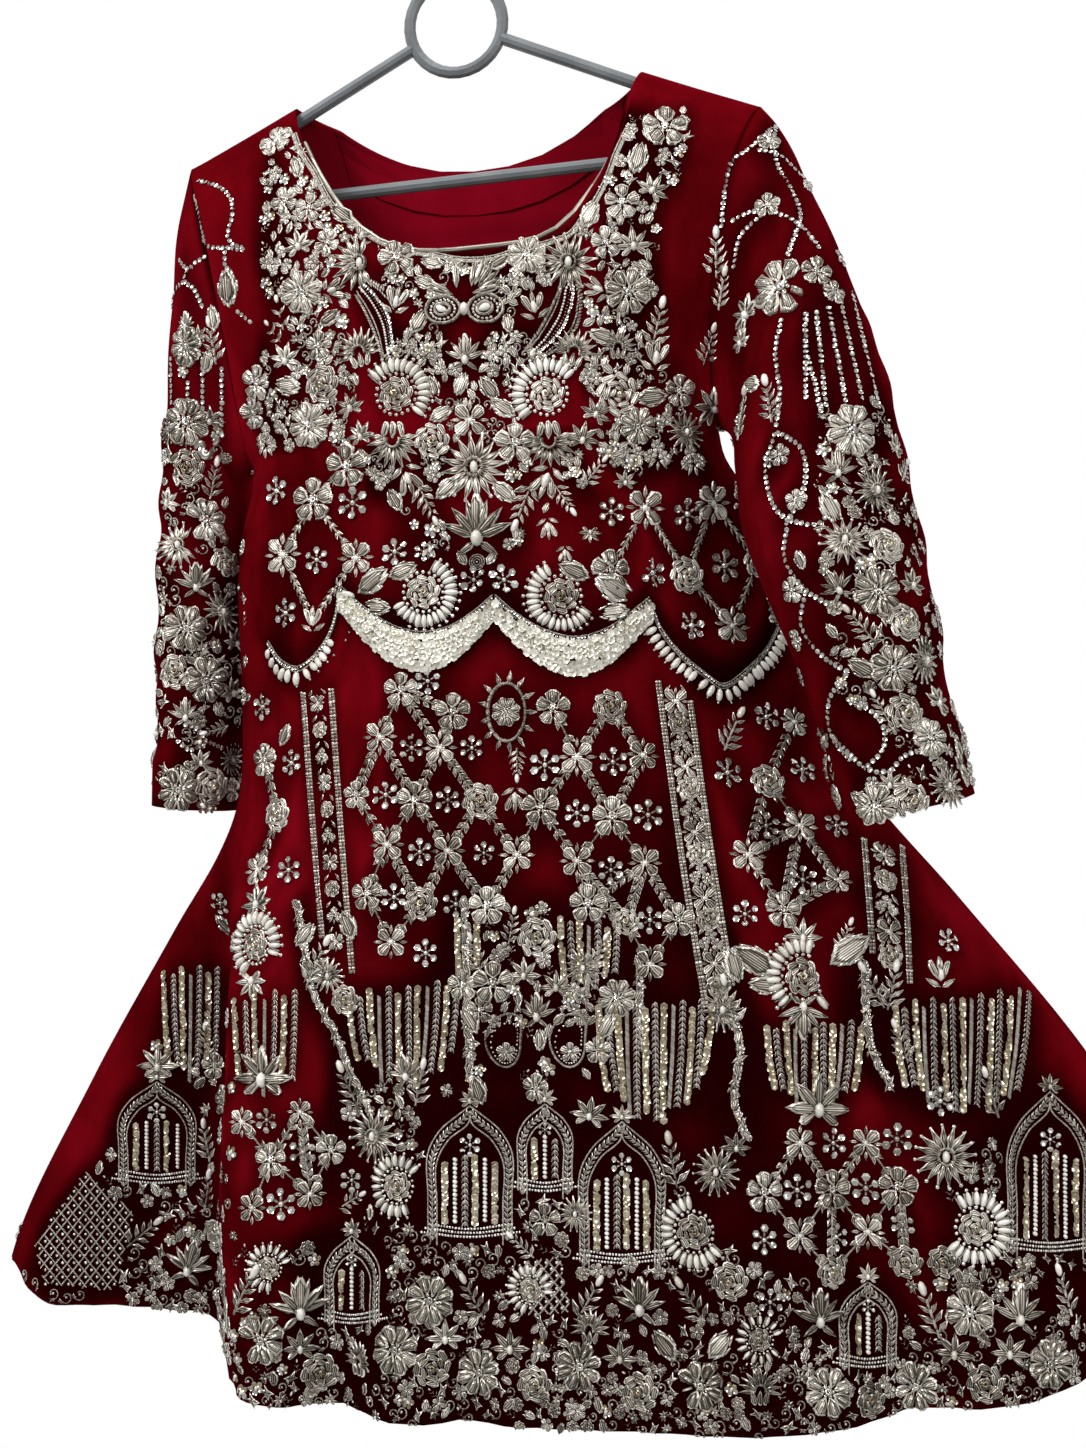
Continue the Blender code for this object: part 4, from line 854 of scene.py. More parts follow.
def tuck_factor(x, z):
    """What is left of the front's depth beside the deep fold."""
    grown = smooth((TUCK_START_Z - z) / (TUCK_START_Z - TUCK_FULL_Z))
    heights, places = zip(*TUCK_RIDGE)
    far = np.clip((TUCK_START_Z - z) / (TUCK_START_Z - HEM_Z), 0.0, 1.0)
    width = TUCK_WIDTH[0] + (TUCK_WIDTH[1] - TUCK_WIDTH[0]) * far
    beside = smooth((through(z, heights, places) - x) / width)
    return 1.0 - (1.0 - TUCK_REMAINS) * grown * beside


def swung(points):
    """The body's sides moved back or forward; both panels and both their faces move alike."""
    x, y, z = points[..., 0], points[..., 1], points[..., 2]
    beside = smooth((np.abs(x) - SWING_X[0]) / (SWING_X[1] - SWING_X[0]))
    started = smooth((SWING_TOP[0] - z) / (SWING_TOP[0] - SWING_TOP[1]))
    ended = smooth((z - SWING_LOW[1]) / (SWING_LOW[0] - SWING_LOW[1]))
    reach = np.where(x < 0, SIDE_SWING["left"], SIDE_SWING["right"])
    return np.stack([x, y + reach * beside * started * ended, z], -1)


def body_point(side, w, level):
    """A panel's outer surface: w runs from -1 to 1 across, level 0-1 is the yoke, 1-2 the rest."""
    across = np.sin(np.pi * w / 2.0)
    turn = np.pi * np.clip(level, 0.0, 1.0)
    down = (1.0 - np.cos(turn)) / 2.0
    below = np.clip(level - 1.0, 0.0, 1.0)
    yoke = level < 1.0

    arm_left, arm_right = armhole("left", turn)[..., 0], armhole("right", turn)[..., 0]
    low_z = UNDERARM_Z + (hem_z(across) - UNDERARM_Z) * below
    left = np.where(yoke, arm_left, body_value("left", low_z))
    right = np.where(yoke, arm_right, body_value("right", low_z))
    x = (left + right) / 2.0 + (right - left) / 2.0 * across
    top = shoulder_z(x) - neckline_drop(side, across)
    z = np.where(yoke, top + (UNDERARM_Z - top) * down, low_z)

    chest = CHEST_DEPTH[side]
    drop = np.maximum(shoulder_z(x) - z, 0.0)
    fall = chest * (1.0 - np.exp(-drop / CHEST_FALL[side]))
    fall = fall + SHOULDER_ROUND * (1.0 - np.exp(-drop / (SHOULDER_ROUND / 2.0)))
    fall = fall + (body_value(side, UNDERARM_Z) - fall) * down ** 4
    depth = np.where(yoke, fall, body_value(side, low_z))
    inward = np.clip((1.0 - np.abs(across)) / ARMHOLE_FADE, 0.0, 1.0) * smooth(2.0 * down - 1.0)
    edge = np.where(yoke, ARMHOLE_DEPTH[side] * np.sin(turn) ** (1.0 + 2.0 * inward), 0.0)
    power = 0.5 + 0.5 * np.sin(np.pi * down) ** 2
    profile = np.clip(1.0 - np.abs(across) ** ROUNDNESS, 0.0, 1.0) ** power
    y = edge + (depth - edge) * profile
    if side == "front":
        y = y * tuck_factor(x, z)
    y = y + fold_offset(side, across, z)
    room = SIDE_ROOM * np.clip((1.0 - np.abs(across)) / SIDE_ROOM_FADE, 0.0, 1.0)
    y = np.maximum(y, SEAM / 2.0 + np.where(yoke, 0.0, room))
    return np.stack([x, -y if side == "front" else y, z], -1)


def sleeve_value(side, name, along):
    """One column of a sleeve's table at a place along it."""
    rows = named(SLEEVE_ROWS[side], SLEEVE_COLUMNS)
    return through(along, [row["along"] for row in rows], [row[name] for row in rows])


def sleeve_point(side, turn, along):
    """A sleeve's outer surface: turn 0 is its outer line, pi the underarm line, plus is the front."""
    value = {name: sleeve_value(side, name, along) for name in SLEEVE_COLUMNS[1:]}
    half_x = (value["outer_x"] - value["inner_x"]) / 2.0
    half_z = (value["outer_z"] - value["inner_z"]) / 2.0
    x = value["inner_x"] + half_x * (1.0 + np.cos(turn))
    z = value["inner_z"] + half_z * (1.0 + np.cos(turn))
    y = value["middle_y"] - value["half_depth"] * np.sin(turn)
    y = y + value["inner_y"] * (1.0 - np.cos(turn)) / 2.0
    free = (1.0 - (1.0 - np.clip(along / CAP_BLEND, 0.0, 1.0)) ** 2)[..., None]
    _, into = armhole_frame(side, turn)
    seam = armhole(side, turn) + into * SEAM / 2.0
    return seam * (1.0 - free) + np.stack([x, y, z], -1) * free


def grid_normals(points, closed, facing):
    """Unit normals of a grid of points, turned to the side that facing gives."""
    def slope(values, axis, wrap):
        """Change from point to point along an axis of the grid."""
        if wrap:
            return np.roll(values, -1, axis) - np.roll(values, 1, axis)
        return np.gradient(values, axis=axis)
    normal = np.cross(slope(points, 0, False), slope(points, 1, closed))
    normal = normal / np.maximum(np.linalg.norm(normal, axis=-1, keepdims=True), 1e-12)
    return normal * facing


def unit(vectors):
    """Vectors at length 1."""
    return vectors / np.linalg.norm(vectors, axis=-1, keepdims=True)


def columns_across(side):
    """The panel's column places, closer together at the deep fold, with one at each neck point."""
    neck = 2.0 / math.pi * math.asin(NECK_SHARE)
    edges = [-1.0, BAND_EDGES[0], -neck, *BAND_EDGES[1:], neck, 1.0]
    parts = [np.linspace(a, b, n, endpoint=False)
             for a, b, n in zip(edges, edges[1:], FINE_BANDS[side])]
    return np.concatenate(parts + [[1.0]]), neck


def panel(side):
    """Grid of a panel's outer points and its normals, with the seams' own normals at its edges."""
    w, neck = columns_across(side)
    levels = np.concatenate([np.linspace(0, 1, FINE_YOKE + 1),
                             np.linspace(1, 2, FINE_SKIRT[side] + 1)[1:]])
    grid_w, grid_level = np.meshgrid(w, levels)
    points = body_point(side, grid_w, grid_level)
    front = side == "front"
    normals = grid_normals(points, False, 1.0)
    if (normals[-1, len(w) // 2, 1] < 0) != front:
        normals = -normals

    turn = np.pi * levels[:FINE_YOKE + 1] * (1.0 if front else -1.0)
    for column, arm in ((0, "left"), (-1, "right")):
        normal, into = armhole_frame(arm, turn)
        edge = armhole(arm, turn) - into * SEAM / 2.0
        edge[:, 1] = np.minimum(edge[:, 1], -SEAM / 2) if front else np.maximum(edge[:, 1], SEAM / 2)
        points[:FINE_YOKE + 1, column] = edge
        normals[:FINE_YOKE + 1, column] = normal
        down = np.gradient(points[:, column], axis=0)[FINE_YOKE + 1:]
        outward = -1.0 if arm == "left" else 1.0
        normals[FINE_YOKE + 1:, column] = np.stack(
            [-outward * down[:, 2], 0 * down[:, 1], outward * down[:, 0]], -1)
    on_seam = np.abs(w) >= neck - 1e-9
    on_seam[[0, -1]] = False
    normals[0, on_seam] = np.stack([SHOULDER_SLOPE * np.sign(w[on_seam]), 0 * w[on_seam],
                                    np.ones(on_seam.sum())], -1)
    return points, unit(normals)


def sleeve(side):
    """Grid of a sleeve's outer points and normals: rings from the armhole to the cuff."""
    turns = np.linspace(0, 2 * np.pi, FINE_SLEEVE["turn"], endpoint=False)
    turns = np.where(turns > np.pi + 1e-9, turns - 2 * np.pi, turns)
    along = np.linspace(0, 1, FINE_SLEEVE["steps"] + 1)
    grid_turn, grid_along = np.meshgrid(turns, along)
    points = sleeve_point(side, grid_turn, grid_along)
    normals = grid_normals(points, True, 1.0)
    middle = points[FINE_SLEEVE["steps"] // 2].mean(0)
    if ((points[FINE_SLEEVE["steps"] // 2] - middle) * normals[FINE_SLEEVE["steps"] // 2]).sum() < 0:
        normals = -normals
    normals[0] = armhole_frame(side, turns)[0]
    return points, unit(normals), grid_turn, grid_along


def distance_across(points, middle_x):
    """Distance along the cloth from the work's middle line, row by row."""
    step = np.linalg.norm(np.diff(points, axis=1), axis=-1)
    length = np.concatenate([np.zeros((len(points), 1)), np.cumsum(step, 1)], 1)
    for row, x in enumerate(middle_x):
        length[row] -= np.interp(x, points[row, :, 0], length[row])
    return length


def front_work(points):
    """Height of the raised work over each point of the front."""
    z = points[..., 2]
    heights, places = zip(*WORK_MIDDLE[::-1])
    s = distance_across(points, np.interp(z[:, z.shape[1] // 2], heights, places))
    work = np.zeros_like(z)
    across_wave, up_wave = (np.cos(2 * np.pi * at / pitch) for at, pitch in zip((s, z), CLUSTER_PITCH))
    clusters = BUMP_MEAN + BUMP_DEPTH * across_wave * up_wave
    for item in named(WORK_ROWS, WORK_COLUMNS):
        far = np.hypot((s - item["across"]) / item["half_width"],
                       (z - item["up"]) / item["half_height"])
        dome = np.sqrt(np.clip(1 - far ** 2, 0, 1))
        plate = clusters * smooth((PLATE_REACH - far) / PLATE_EDGE)
        work = np.maximum(work, item["height"] * (dome if item["shape"] == "dome" else plate))
    for strip in named(STRIP_ROWS, STRIP_COLUMNS):
        part = np.clip((strip["top"] - z) / (strip["top"] - strip["bottom"]), 0, 1)
        place = strip["across_top"] + (strip["across_bottom"] - strip["across_top"]) * part
        inside = (z < strip["top"]) & (z > strip["bottom"])
        rise = smooth((STRIP_HALF - np.abs(s - place)) / SOFT_EDGE + 0.5)
        work = np.maximum(work, STRIP_HEIGHT * rise * inside)
    for scallop in named(SCALLOP_ROWS, SCALLOP_COLUMNS):
        out = (s - scallop["across"]) / scallop["half_width"]
        curve = scallop["low_z"] + SCALLOP_DEPTH * np.abs(out) ** 2
        rise = smooth((SCALLOP_BAND - np.abs(z - curve)) / SOFT_EDGE + 0.5)
        work = np.maximum(work, SCALLOP_HEIGHT * rise * (np.abs(out) <= SCALLOP_REACH))
    band = HEM_Z + HEM_BAND + HEM_SWAY * np.cos(2 * np.pi * s / (3 * HEM_WAVE))
    bumps = BUMP_MEAN + BUMP_DEPTH * np.cos(2 * np.pi * s / HEM_WAVE)
    return np.maximum(work, HEM_HEIGHT * bumps * smooth((band - z) / HEM_EDGE))


def edge_fade(points, closed):
    """1 inside a piece, falling to 0 at its side seams and its top edge."""
    down = np.concatenate([np.zeros((1, points.shape[1])),
                           np.cumsum(np.linalg.norm(np.diff(points, axis=0), axis=-1), 0)])
    fade = smooth(down / PLAIN_MARGIN)
    if not closed:
        step = np.linalg.norm(np.diff(points, axis=1), axis=-1)
        length = np.concatenate([np.zeros((len(points), 1)), np.cumsum(step, 1)], 1)
        near = np.minimum(length, length[:, -1:] - length)
        fade = fade * smooth(near / PLAIN_MARGIN)
    return fade


def sleeve_work(turn, along):
    """Height of the raised work on a sleeve: the cluster on its outer front, and the cuff."""
    facing = smooth((np.cos(turn - CLUSTER_TURN) + CLUSTER_WRAP) / CLUSTER_SIDE)
    start, end = (along - CLUSTER[0]) / CLUSTER_ENDS[0], (CLUSTER[1] - along) / CLUSTER_ENDS[1]
    length = smooth(start) * smooth(end)
    bumps = 0.6 + 0.4 * np.cos(CLUSTER_BUMPS[0] * turn) * np.cos(along * CLUSTER_BUMPS[1])
    cluster = CLUSTER_HEIGHT * facing * length * bumps
    ribs = 0.75 + 0.25 * np.cos(CUFF_RIBS * turn)
    cuff = CUFF_HEIGHT * smooth((along - CUFF_START) / CUFF_EDGE) * ribs
    return np.maximum(cluster, cuff)


def ripple(x, z):
    """Small uneven waves all over the cloth, as two crossed pairs; the rates are a metre."""
    wave = (np.sin(41 * x + 9 * z + 1.3) * np.cos(33 * z - 14 * x)
            + 0.6 * np.sin(83 * x - 37 * z + 0.4) * np.cos(59 * z + 21 * x + 2.0))
    return RIPPLE * wave


def crease_offset(piece, points):
    """How far the creases push each point out: tapered lines, the same from the front and the back."""
    x, z = points[..., 0], points[..., 2]
    out = np.zeros_like(x)
    for row in named(CREASE_ROWS, CREASE_COLUMNS):
        if row["piece"] != piece:
            continue
        run = np.array([row["x_end"] - row["x_top"], row["z_end"] - row["z_top"]])
        length = np.linalg.norm(run)
        along = ((x - row["x_top"]) * run[0] + (z - row["z_top"]) * run[1]) / length ** 2
        beside = ((x - row["x_top"]) * run[1] - (z - row["z_top"]) * run[0]) / length
        sway = row["half_width"] * CREASE_SWAY * np.sin(along * CREASE_WAVE + 40 * row["x_top"])
        bell = np.exp(-((beside + sway) / row["half_width"]) ** 2)
        before, after = (along - CREASE_ENDS[0]) / CREASE_TAPER, (CREASE_ENDS[1] - along) / CREASE_TAPER
        taper = smooth(before) * smooth(after)
        out = out + row["depth"] * bell * taper
    return out + ripple(x, z)


def fine_panel(side):
    """A panel's fine outer surface with creases and raised work, and its plain inner one."""
    points, normals = panel(side)
    fade = edge_fade(points, False)
    work = front_work(points) if side == "front" else np.zeros(points.shape[:2])
    crease = crease_offset(side, points)
    outer = points + normals * ((work + crease) * fade)[..., None]
    inner = points + normals * (crease * fade - CLOTH)[..., None]
    return swung(outer), swung(inner)


def fine_sleeve(side):
    """A sleeve's fine outer surface with creases and raised work, and its plain inner one."""
    points, normals, turn, along = sleeve(side)
    fade = edge_fade(points, True)
    crease = crease_offset(side, points)
    outer = points + normals * ((sleeve_work(turn, along) + crease) * fade)[..., None]
    inner = points + normals * (crease * fade - CLOTH)[..., None]
    return outer, inner


def grid_quads(rows, columns, closed, first=0, flip=False):
    """Corner numbers of the four-sided faces between a grid's points."""
    ids = np.arange(rows * columns).reshape(rows, columns) + first
    nxt = np.roll(ids, -1, axis=1)
    a, b, c, d = ids[:-1], nxt[:-1], nxt[1:], ids[1:]
    if not closed:
        a, b, c, d = (part[:, :-1] for part in (a, b, c, d))
    quads = np.stack([a, b, c, d], -1).reshape(-1, 4)
    return quads[:, ::-1] if flip else quads


def make_mesh(name, verts, faces, materials, slots=None):
    """A smooth mesh object from arrays: faces of equal size, and one material slot a face."""
    mesh = bpy.data.meshes.new(name)
    size = faces.shape[1]
    mesh.vertices.add(len(verts))
    mesh.vertices.foreach_set("co", np.ascontiguousarray(verts, np.float32).ravel())
    mesh.loops.add(faces.size)
    mesh.loops.foreach_set("vertex_index", np.ascontiguousarray(faces, np.int32).ravel())
    mesh.polygons.add(len(faces))
    mesh.polygons.foreach_set("loop_start", np.arange(0, faces.size, size, dtype=np.int32))
    for material in materials:
        mesh.materials.append(material)
    if slots is not None:
        mesh.polygons.foreach_set("material_index", np.ascontiguousarray(slots, np.int32))
    mesh.update(calc_edges=True)
    mesh.shade_smooth()
    obj = bpy.data.objects.new(name, mesh)
    bpy.context.scene.collection.objects.link(obj)
    return obj


def store(obj, name, values):
    """Keep one value a vertex under a name for the materials."""
    layer = obj.data.attributes.new(name, "FLOAT", "POINT")
    layer.data.foreach_set("value", np.ascontiguousarray(values, np.float32))


def make_shell(name, outer, inner, closed, materials):
    """A thin closed shell between an outer and an inner grid; slot 0 outside, slot 1 inside."""
    rows, columns = outer.shape[:2]
    count = rows * columns
    verts = np.concatenate([outer.reshape(-1, 3), inner.reshape(-1, 3)])
    out_quads = grid_quads(rows, columns, closed)
    in_quads = grid_quads(rows, columns, closed, count, True)
    ids = np.arange(count).reshape(rows, columns)
    rims = []
    for row, turned in ((0, False), (rows - 1, True)):
        line = ids[row]
        nxt = np.roll(line, -1) if closed else line[1:]
        line = line if closed else line[:-1]
        rim = np.stack([nxt, line, line + count, nxt + count], -1)
        rims.append(rim[:, ::-1] if turned else rim)
    if not closed:
        for column, turned in ((0, True), (columns - 1, False)):
            line, nxt = ids[:-1, column], ids[1:, column]
            rim = np.stack([nxt, line, line + count, nxt + count], -1)
            rims.append(rim[:, ::-1] if turned else rim)
    faces = np.concatenate([out_quads, in_quads, *rims])
    slots = np.zeros(len(faces))
    slots[len(out_quads):len(out_quads) + len(in_quads)] = 1
    middle = len(out_quads) // 2
    corner = verts[faces[middle]]
    facing = np.cross(corner[1] - corner[0], corner[2] - corner[0])
    away = (corner - verts[faces[middle] + count]).mean(0)
    if facing @ away < 0:
        faces = faces[:, ::-1]
    obj = make_mesh(name, verts, faces, materials, slots)
    obj.data.set_sharp_from_angle(angle=math.radians(60))
    return obj


def new_material(name, colour, roughness, metallic=0.0):
    """A node material with plain values on its Principled shader."""
    material = bpy.data.materials.new(name)
    material.use_nodes = True
    tree = material.node_tree
    shader = tree.nodes["Principled BSDF"]
    shader.inputs["Base Color"].default_value = (*colour, 1.0)
    shader.inputs["Roughness"].default_value = roughness
    shader.inputs["Metallic"].default_value = metallic
    return material, tree, shader


def colour_ramp(tree, factor, stops):
    """Colours at places along a factor; stops are (place, colour)."""
    ramp = tree.nodes.new("ShaderNodeValToRGB")
    elements = ramp.color_ramp.elements
    for element, (place, colour) in zip(elements, (stops[0], stops[-1])):
        element.position = place
        element.color = (*colour, 1.0)
    for place, colour in stops[1:-1]:
        elements.new(place).color = (*colour, 1.0)
    tree.links.new(factor, ramp.inputs["Fac"])
    return ramp.outputs["Color"]


def noise(tree, scale, detail=3.0, rough=0.5, stretch=None):
    """Noise in the object's own metres, stretched where asked."""
    source = tree.nodes.new("ShaderNodeTexCoord").outputs["Object"]
    if stretch:
        mapping = tree.nodes.new("ShaderNodeMapping")
        mapping.inputs["Scale"].default_value = stretch
        tree.links.new(source, mapping.inputs["Vector"])
        source = mapping.outputs["Vector"]
    texture = tree.nodes.new("ShaderNodeTexNoise")
    texture.inputs["Scale"].default_value = scale
    texture.inputs["Detail"].default_value = detail
    texture.inputs["Roughness"].default_value = rough
    tree.links.new(source, texture.inputs["Vector"])
    return texture.outputs["Fac"]


def bump(tree, shader, height, strength, distance):
    """Fine relief on a shader."""
    node = tree.nodes.new("ShaderNodeBump")
    node.inputs["Strength"].default_value = strength
    node.inputs["Distance"].default_value = distance
    tree.links.new(height, node.inputs["Height"])
    tree.links.new(node.outputs["Normal"], shader.inputs["Normal"])


def attribute(tree, name):
    """A value kept on the mesh's points."""
    node = tree.nodes.new("ShaderNodeAttribute")
    node.attribute_name = name
    return node.outputs["Fac"]


def math_node(tree, kind, first, second):
    """A sum, difference or product of two values, each a number or a socket."""
    node = tree.nodes.new("ShaderNodeMath")
    node.operation = kind
    for socket, value in zip(node.inputs, (first, second)):
        if isinstance(value, float):
            socket.default_value = value
        else:
            tree.links.new(value, socket)
    return node.outputs[0]


def soft_step(tree, value, between, result=(0.0, 1.0)):
    """A smooth change of the result while the value runs between two numbers."""
    node = tree.nodes.new("ShaderNodeMapRange")
    node.interpolation_type = "SMOOTHSTEP"
    names = ("From Min", "From Max", "To Min", "To Max")
    for name, number in zip(names, (*between, *result)):
        node.inputs[name].default_value = number
    tree.links.new(value, node.inputs["Value"])
    return node.outputs[0]


def velvet_material(name, pile, work_shade, sheen):
    """Pile that catches light where it is brushed, with painted shade under and beside the work."""
    material, tree, shader = new_material(name, pile[1], VELVET_ROUGHNESS)
    patches = noise(tree, 11.0, 6.0, 0.62, (1.0, 1.0, 0.5))
    mix = tree.nodes.new("ShaderNodeMix")
    mix.data_type = "RGBA"
    tree.links.new(attribute(tree, "tone"), mix.inputs["Factor"])
    tree.links.new(colour_ramp(tree, patches, list(zip(PILE_PLACES, pile))), mix.inputs["A"])
    # Painted shade: the pile turns to this dark colour under and beside the work
    mix.inputs["B"].default_value = (*work_shade, 1.0)
    tree.links.new(mix.outputs["Result"], shader.inputs["Base Color"])
    bump(tree, shader, noise(tree, 900.0, 2.0, 0.7), 0.25, 0.0005)
    shader.inputs["Sheen Weight"].default_value = sheen
    shader.inputs["Sheen Roughness"].default_value = 0.30
    shader.inputs["Sheen Tint"].default_value = (*SHEEN_TINT, 1.0)
    shader.inputs["Specular IOR Level"].default_value = 0.0
    return material


def metal_material(name, roughness, metallic, threads, outlined, stops):
    """Worked metal: tarnish by patch, part and motif, a bright edge inside a dark line, fine threads."""
    material, tree, shader = new_material(name, stops[1][1], roughness, metallic)
    island = tree.nodes.new("ShaderNodeNewGeometry").outputs["Random Per Island"]
    patch = math_node(tree, "MULTIPLY", noise(tree, 60.0, 3.0, 0.6), PATCH_TARNISH)
    part = math_node(tree, "MULTIPLY", island, PART_TARNISH)
    motif_tone = math_node(tree, "MULTIPLY", attribute(tree, "tone"), MOTIF_TARNISH)
    rim = attribute(tree, "rim")
    turned = soft_step(tree, rim, RIM_EDGE, RIM_TONES)
    line = math_node(tree, "MULTIPLY", turned, soft_step(tree, rim, RIM_START))
    outline = math_node(tree, "MULTIPLY", line, outlined)
    tarnish = math_node(tree, "ADD", math_node(tree, "ADD", patch, part),
                        math_node(tree, "ADD", motif_tone, outline))
    if threads:
        direction, scale, depth = threads
        wave = tree.nodes.new("ShaderNodeTexWave")
        wave.bands_direction = direction
        wave.inputs["Scale"].default_value = scale
        wave.inputs["Distortion"].default_value = 0.8
        wave.inputs["Detail"].default_value = 1.0
        tree.links.new(tree.nodes.new("ShaderNodeUVMap").outputs["UV"], wave.inputs["Vector"])
        bump(tree, shader, wave.outputs["Fac"], 0.8, 0.0004)
        ridge = math_node(tree, "MULTIPLY", math_node(tree, "SUBTRACT", wave.outputs["Fac"], 0.5), depth)
        tarnish = math_node(tree, "ADD", tarnish, ridge)
    else:
        bump(tree, shader, noise(tree, 500.0, 2.0, 0.5), 0.12, 0.0002)
    tree.links.new(colour_ramp(tree, tarnish, stops), shader.inputs["Base Color"])
    return material


def mottled_material(name, colours, roughness, scale):
    """A plain material between two close colours."""
    material, tree, shader = new_material(name, colours[0], roughness)
    tree.links.new(colour_ramp(tree, noise(tree, scale), ((0.3, colours[0]), (0.7, colours[1]))),
                   shader.inputs["Base Color"])
    return material, tree, shader


def plastic_material():
    """The hanger's grey plastic, with a fine grain."""
    material, tree, shader = mottled_material("hanger plastic", HANGER_GREYS, 0.42, 38.0)
    bump(tree, shader, noise(tree, 300.0, 2.0, 0.5), 0.10, 0.0003)
    return material


def camera_frame():
    """The camera's place and its right, up and back directions, from its turn and roll."""
    turn, roll = math.radians(CAMERA_TURN), math.radians(CAMERA_ROLL)
    back = np.array([math.sin(turn), -math.cos(turn), 0.0])
    level = np.array([math.cos(turn), math.sin(turn), 0.0])
    up = np.array([0.0, 0.0, 1.0])
    right = level * math.cos(roll) - up * math.sin(roll)
    top = level * math.sin(roll) + up * math.cos(roll)
    place = np.array(CAMERA_TARGET) + back * CAMERA_DISTANCE
    return place, right, top, back


def make_camera():
    """The camera at the photo's angle."""
    data = bpy.data.cameras.new("camera")
    data.sensor_width = SENSOR
    data.lens = FOCAL_PIXELS * SENSOR / PHOTO_SIZE[1]
    camera = bpy.data.objects.new("camera", data)
    place, right, top, back = camera_frame()
    camera.matrix_world = Matrix([(right[i], top[i], back[i], place[i]) for i in range(3)]
                                 + [(0, 0, 0, 1)])
    bpy.context.scene.collection.objects.link(camera)
    bpy.context.scene.camera = camera


def make_light(name, place, size, power):
    """A soft rectangular light, aimed at the garment's middle."""
    data = bpy.data.lights.new(name, "AREA")
    data.shape = "RECTANGLE"
    data.size, data.size_y = size
    data.energy = power
    light = bpy.data.objects.new(name, data)
    light.location = place
    light.rotation_euler = (Vector(STUDIO_MIDDLE) - Vector(place)).to_track_quat("-Z", "Y").to_euler()
    bpy.context.scene.collection.objects.link(light)


def make_studio():
    """A pale room, brighter behind the garment, with three soft lights and a floor."""
    world = bpy.data.worlds.new("studio")
    world.use_nodes = True
    tree = world.node_tree
    shader = tree.nodes["Background"]
    split = tree.nodes.new("ShaderNodeSeparateXYZ")
    tree.links.new(tree.nodes.new("ShaderNodeTexCoord").outputs["Generated"], split.inputs[0])
    tree.links.new(colour_ramp(tree, split.outputs["Y"], ROOM_STOPS), shader.inputs["Color"])
    shader.inputs["Strength"].default_value = 1.0
    bpy.context.scene.world = world
    bpy.context.scene.view_settings.view_transform = "Standard"
    for light in LIGHTS:
        make_light(*light)
    corners = [(x * FLOOR_REACH, y * FLOOR_REACH, FLOOR_Z) for x, y in ((-1, -1), (1, -1), (1, 1), (-1, 1))]
    material = mottled_material("pale floor", FLOOR_TONES, 0.8, 3.0)[0]
    make_mesh("floor", np.array(corners), np.array([[0, 1, 2, 3]]), [material])


def finish_piece(obj, nodes=()):
    """State what a piece rides on and the solids that it replaces."""
    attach(obj, "root")
    if nodes:
        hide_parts(*nodes)
    return obj


def round_form(corners, start, squareness, rows, top):
    """Vertices, triangles and rims of a part built up in rings, with a point on top if it has one."""
    turns = (np.arange(corners) + start) * 2 * np.pi / corners
    along, beside = (np.sign(way) * np.abs(way) ** squareness for way in (np.cos(turns), np.sin(turns)))
    verts, faces, rims = [], [], []
    for half_length, half_width, height, rim in rows:
        verts += zip(half_length * along, half_width * beside, [height] * corners)
        rims += [rim] * corners
    last = (len(rows) - 1) * corners
    for first in range(0, last, corners):
        for i in range(corners):
            a, b = first + i, first + (i + 1) % corners
            faces += [(a, b, b + corners), (a, b + corners, a + corners)]
    if top is not None:
        faces += [(last + i, last + (i + 1) % corners, len(verts)) for i in range(corners)]
        verts.append((0.0, 0.0, top))
        rims.append(0.0)
    return np.array(verts, float), np.array(faces), np.array(rims, float)


def long_form(stations, profile):
    """Vertices, triangles and rims of a part with a profile that narrows to its ends."""
    verts = [(x, width * across, height * min(1.0, LOW_ENDS + width))
             for x, width in stations for across, height in profile]
    wide = len(profile)
    faces = []
    for i in range(len(stations) - 1):
        for j in range(wide - 1):
            a, b = i * wide + j, (i + 1) * wide + j
            faces += [(a, b, b + 1), (a, b + 1, a + 1)]
    rims = [1.0 if abs(x) == 1 else abs(across) for x, _ in stations for across, _ in profile]
    return np.array(verts, float), np.array(faces), np.array(rims)


FORMS = {**{kind: round_form(*form) for kind, form in ROUND_FORMS.items()},
         **{kind: long_form(*form) for kind, form in LONG_FORMS.items()}}
KINDS = tuple(FORMS)


def photo_ray(u, v):
    """The camera's place and the direction in which it sees a photo pixel."""
    place, right, top, back = camera_frame()
    across = (u - PHOTO_SIZE[0] / 2) / FOCAL_PIXELS
    up = (PHOTO_SIZE[1] / 2 - v) / FOCAL_PIXELS
    ray = right * across + top * up - back
    return place, ray / np.linalg.norm(ray)


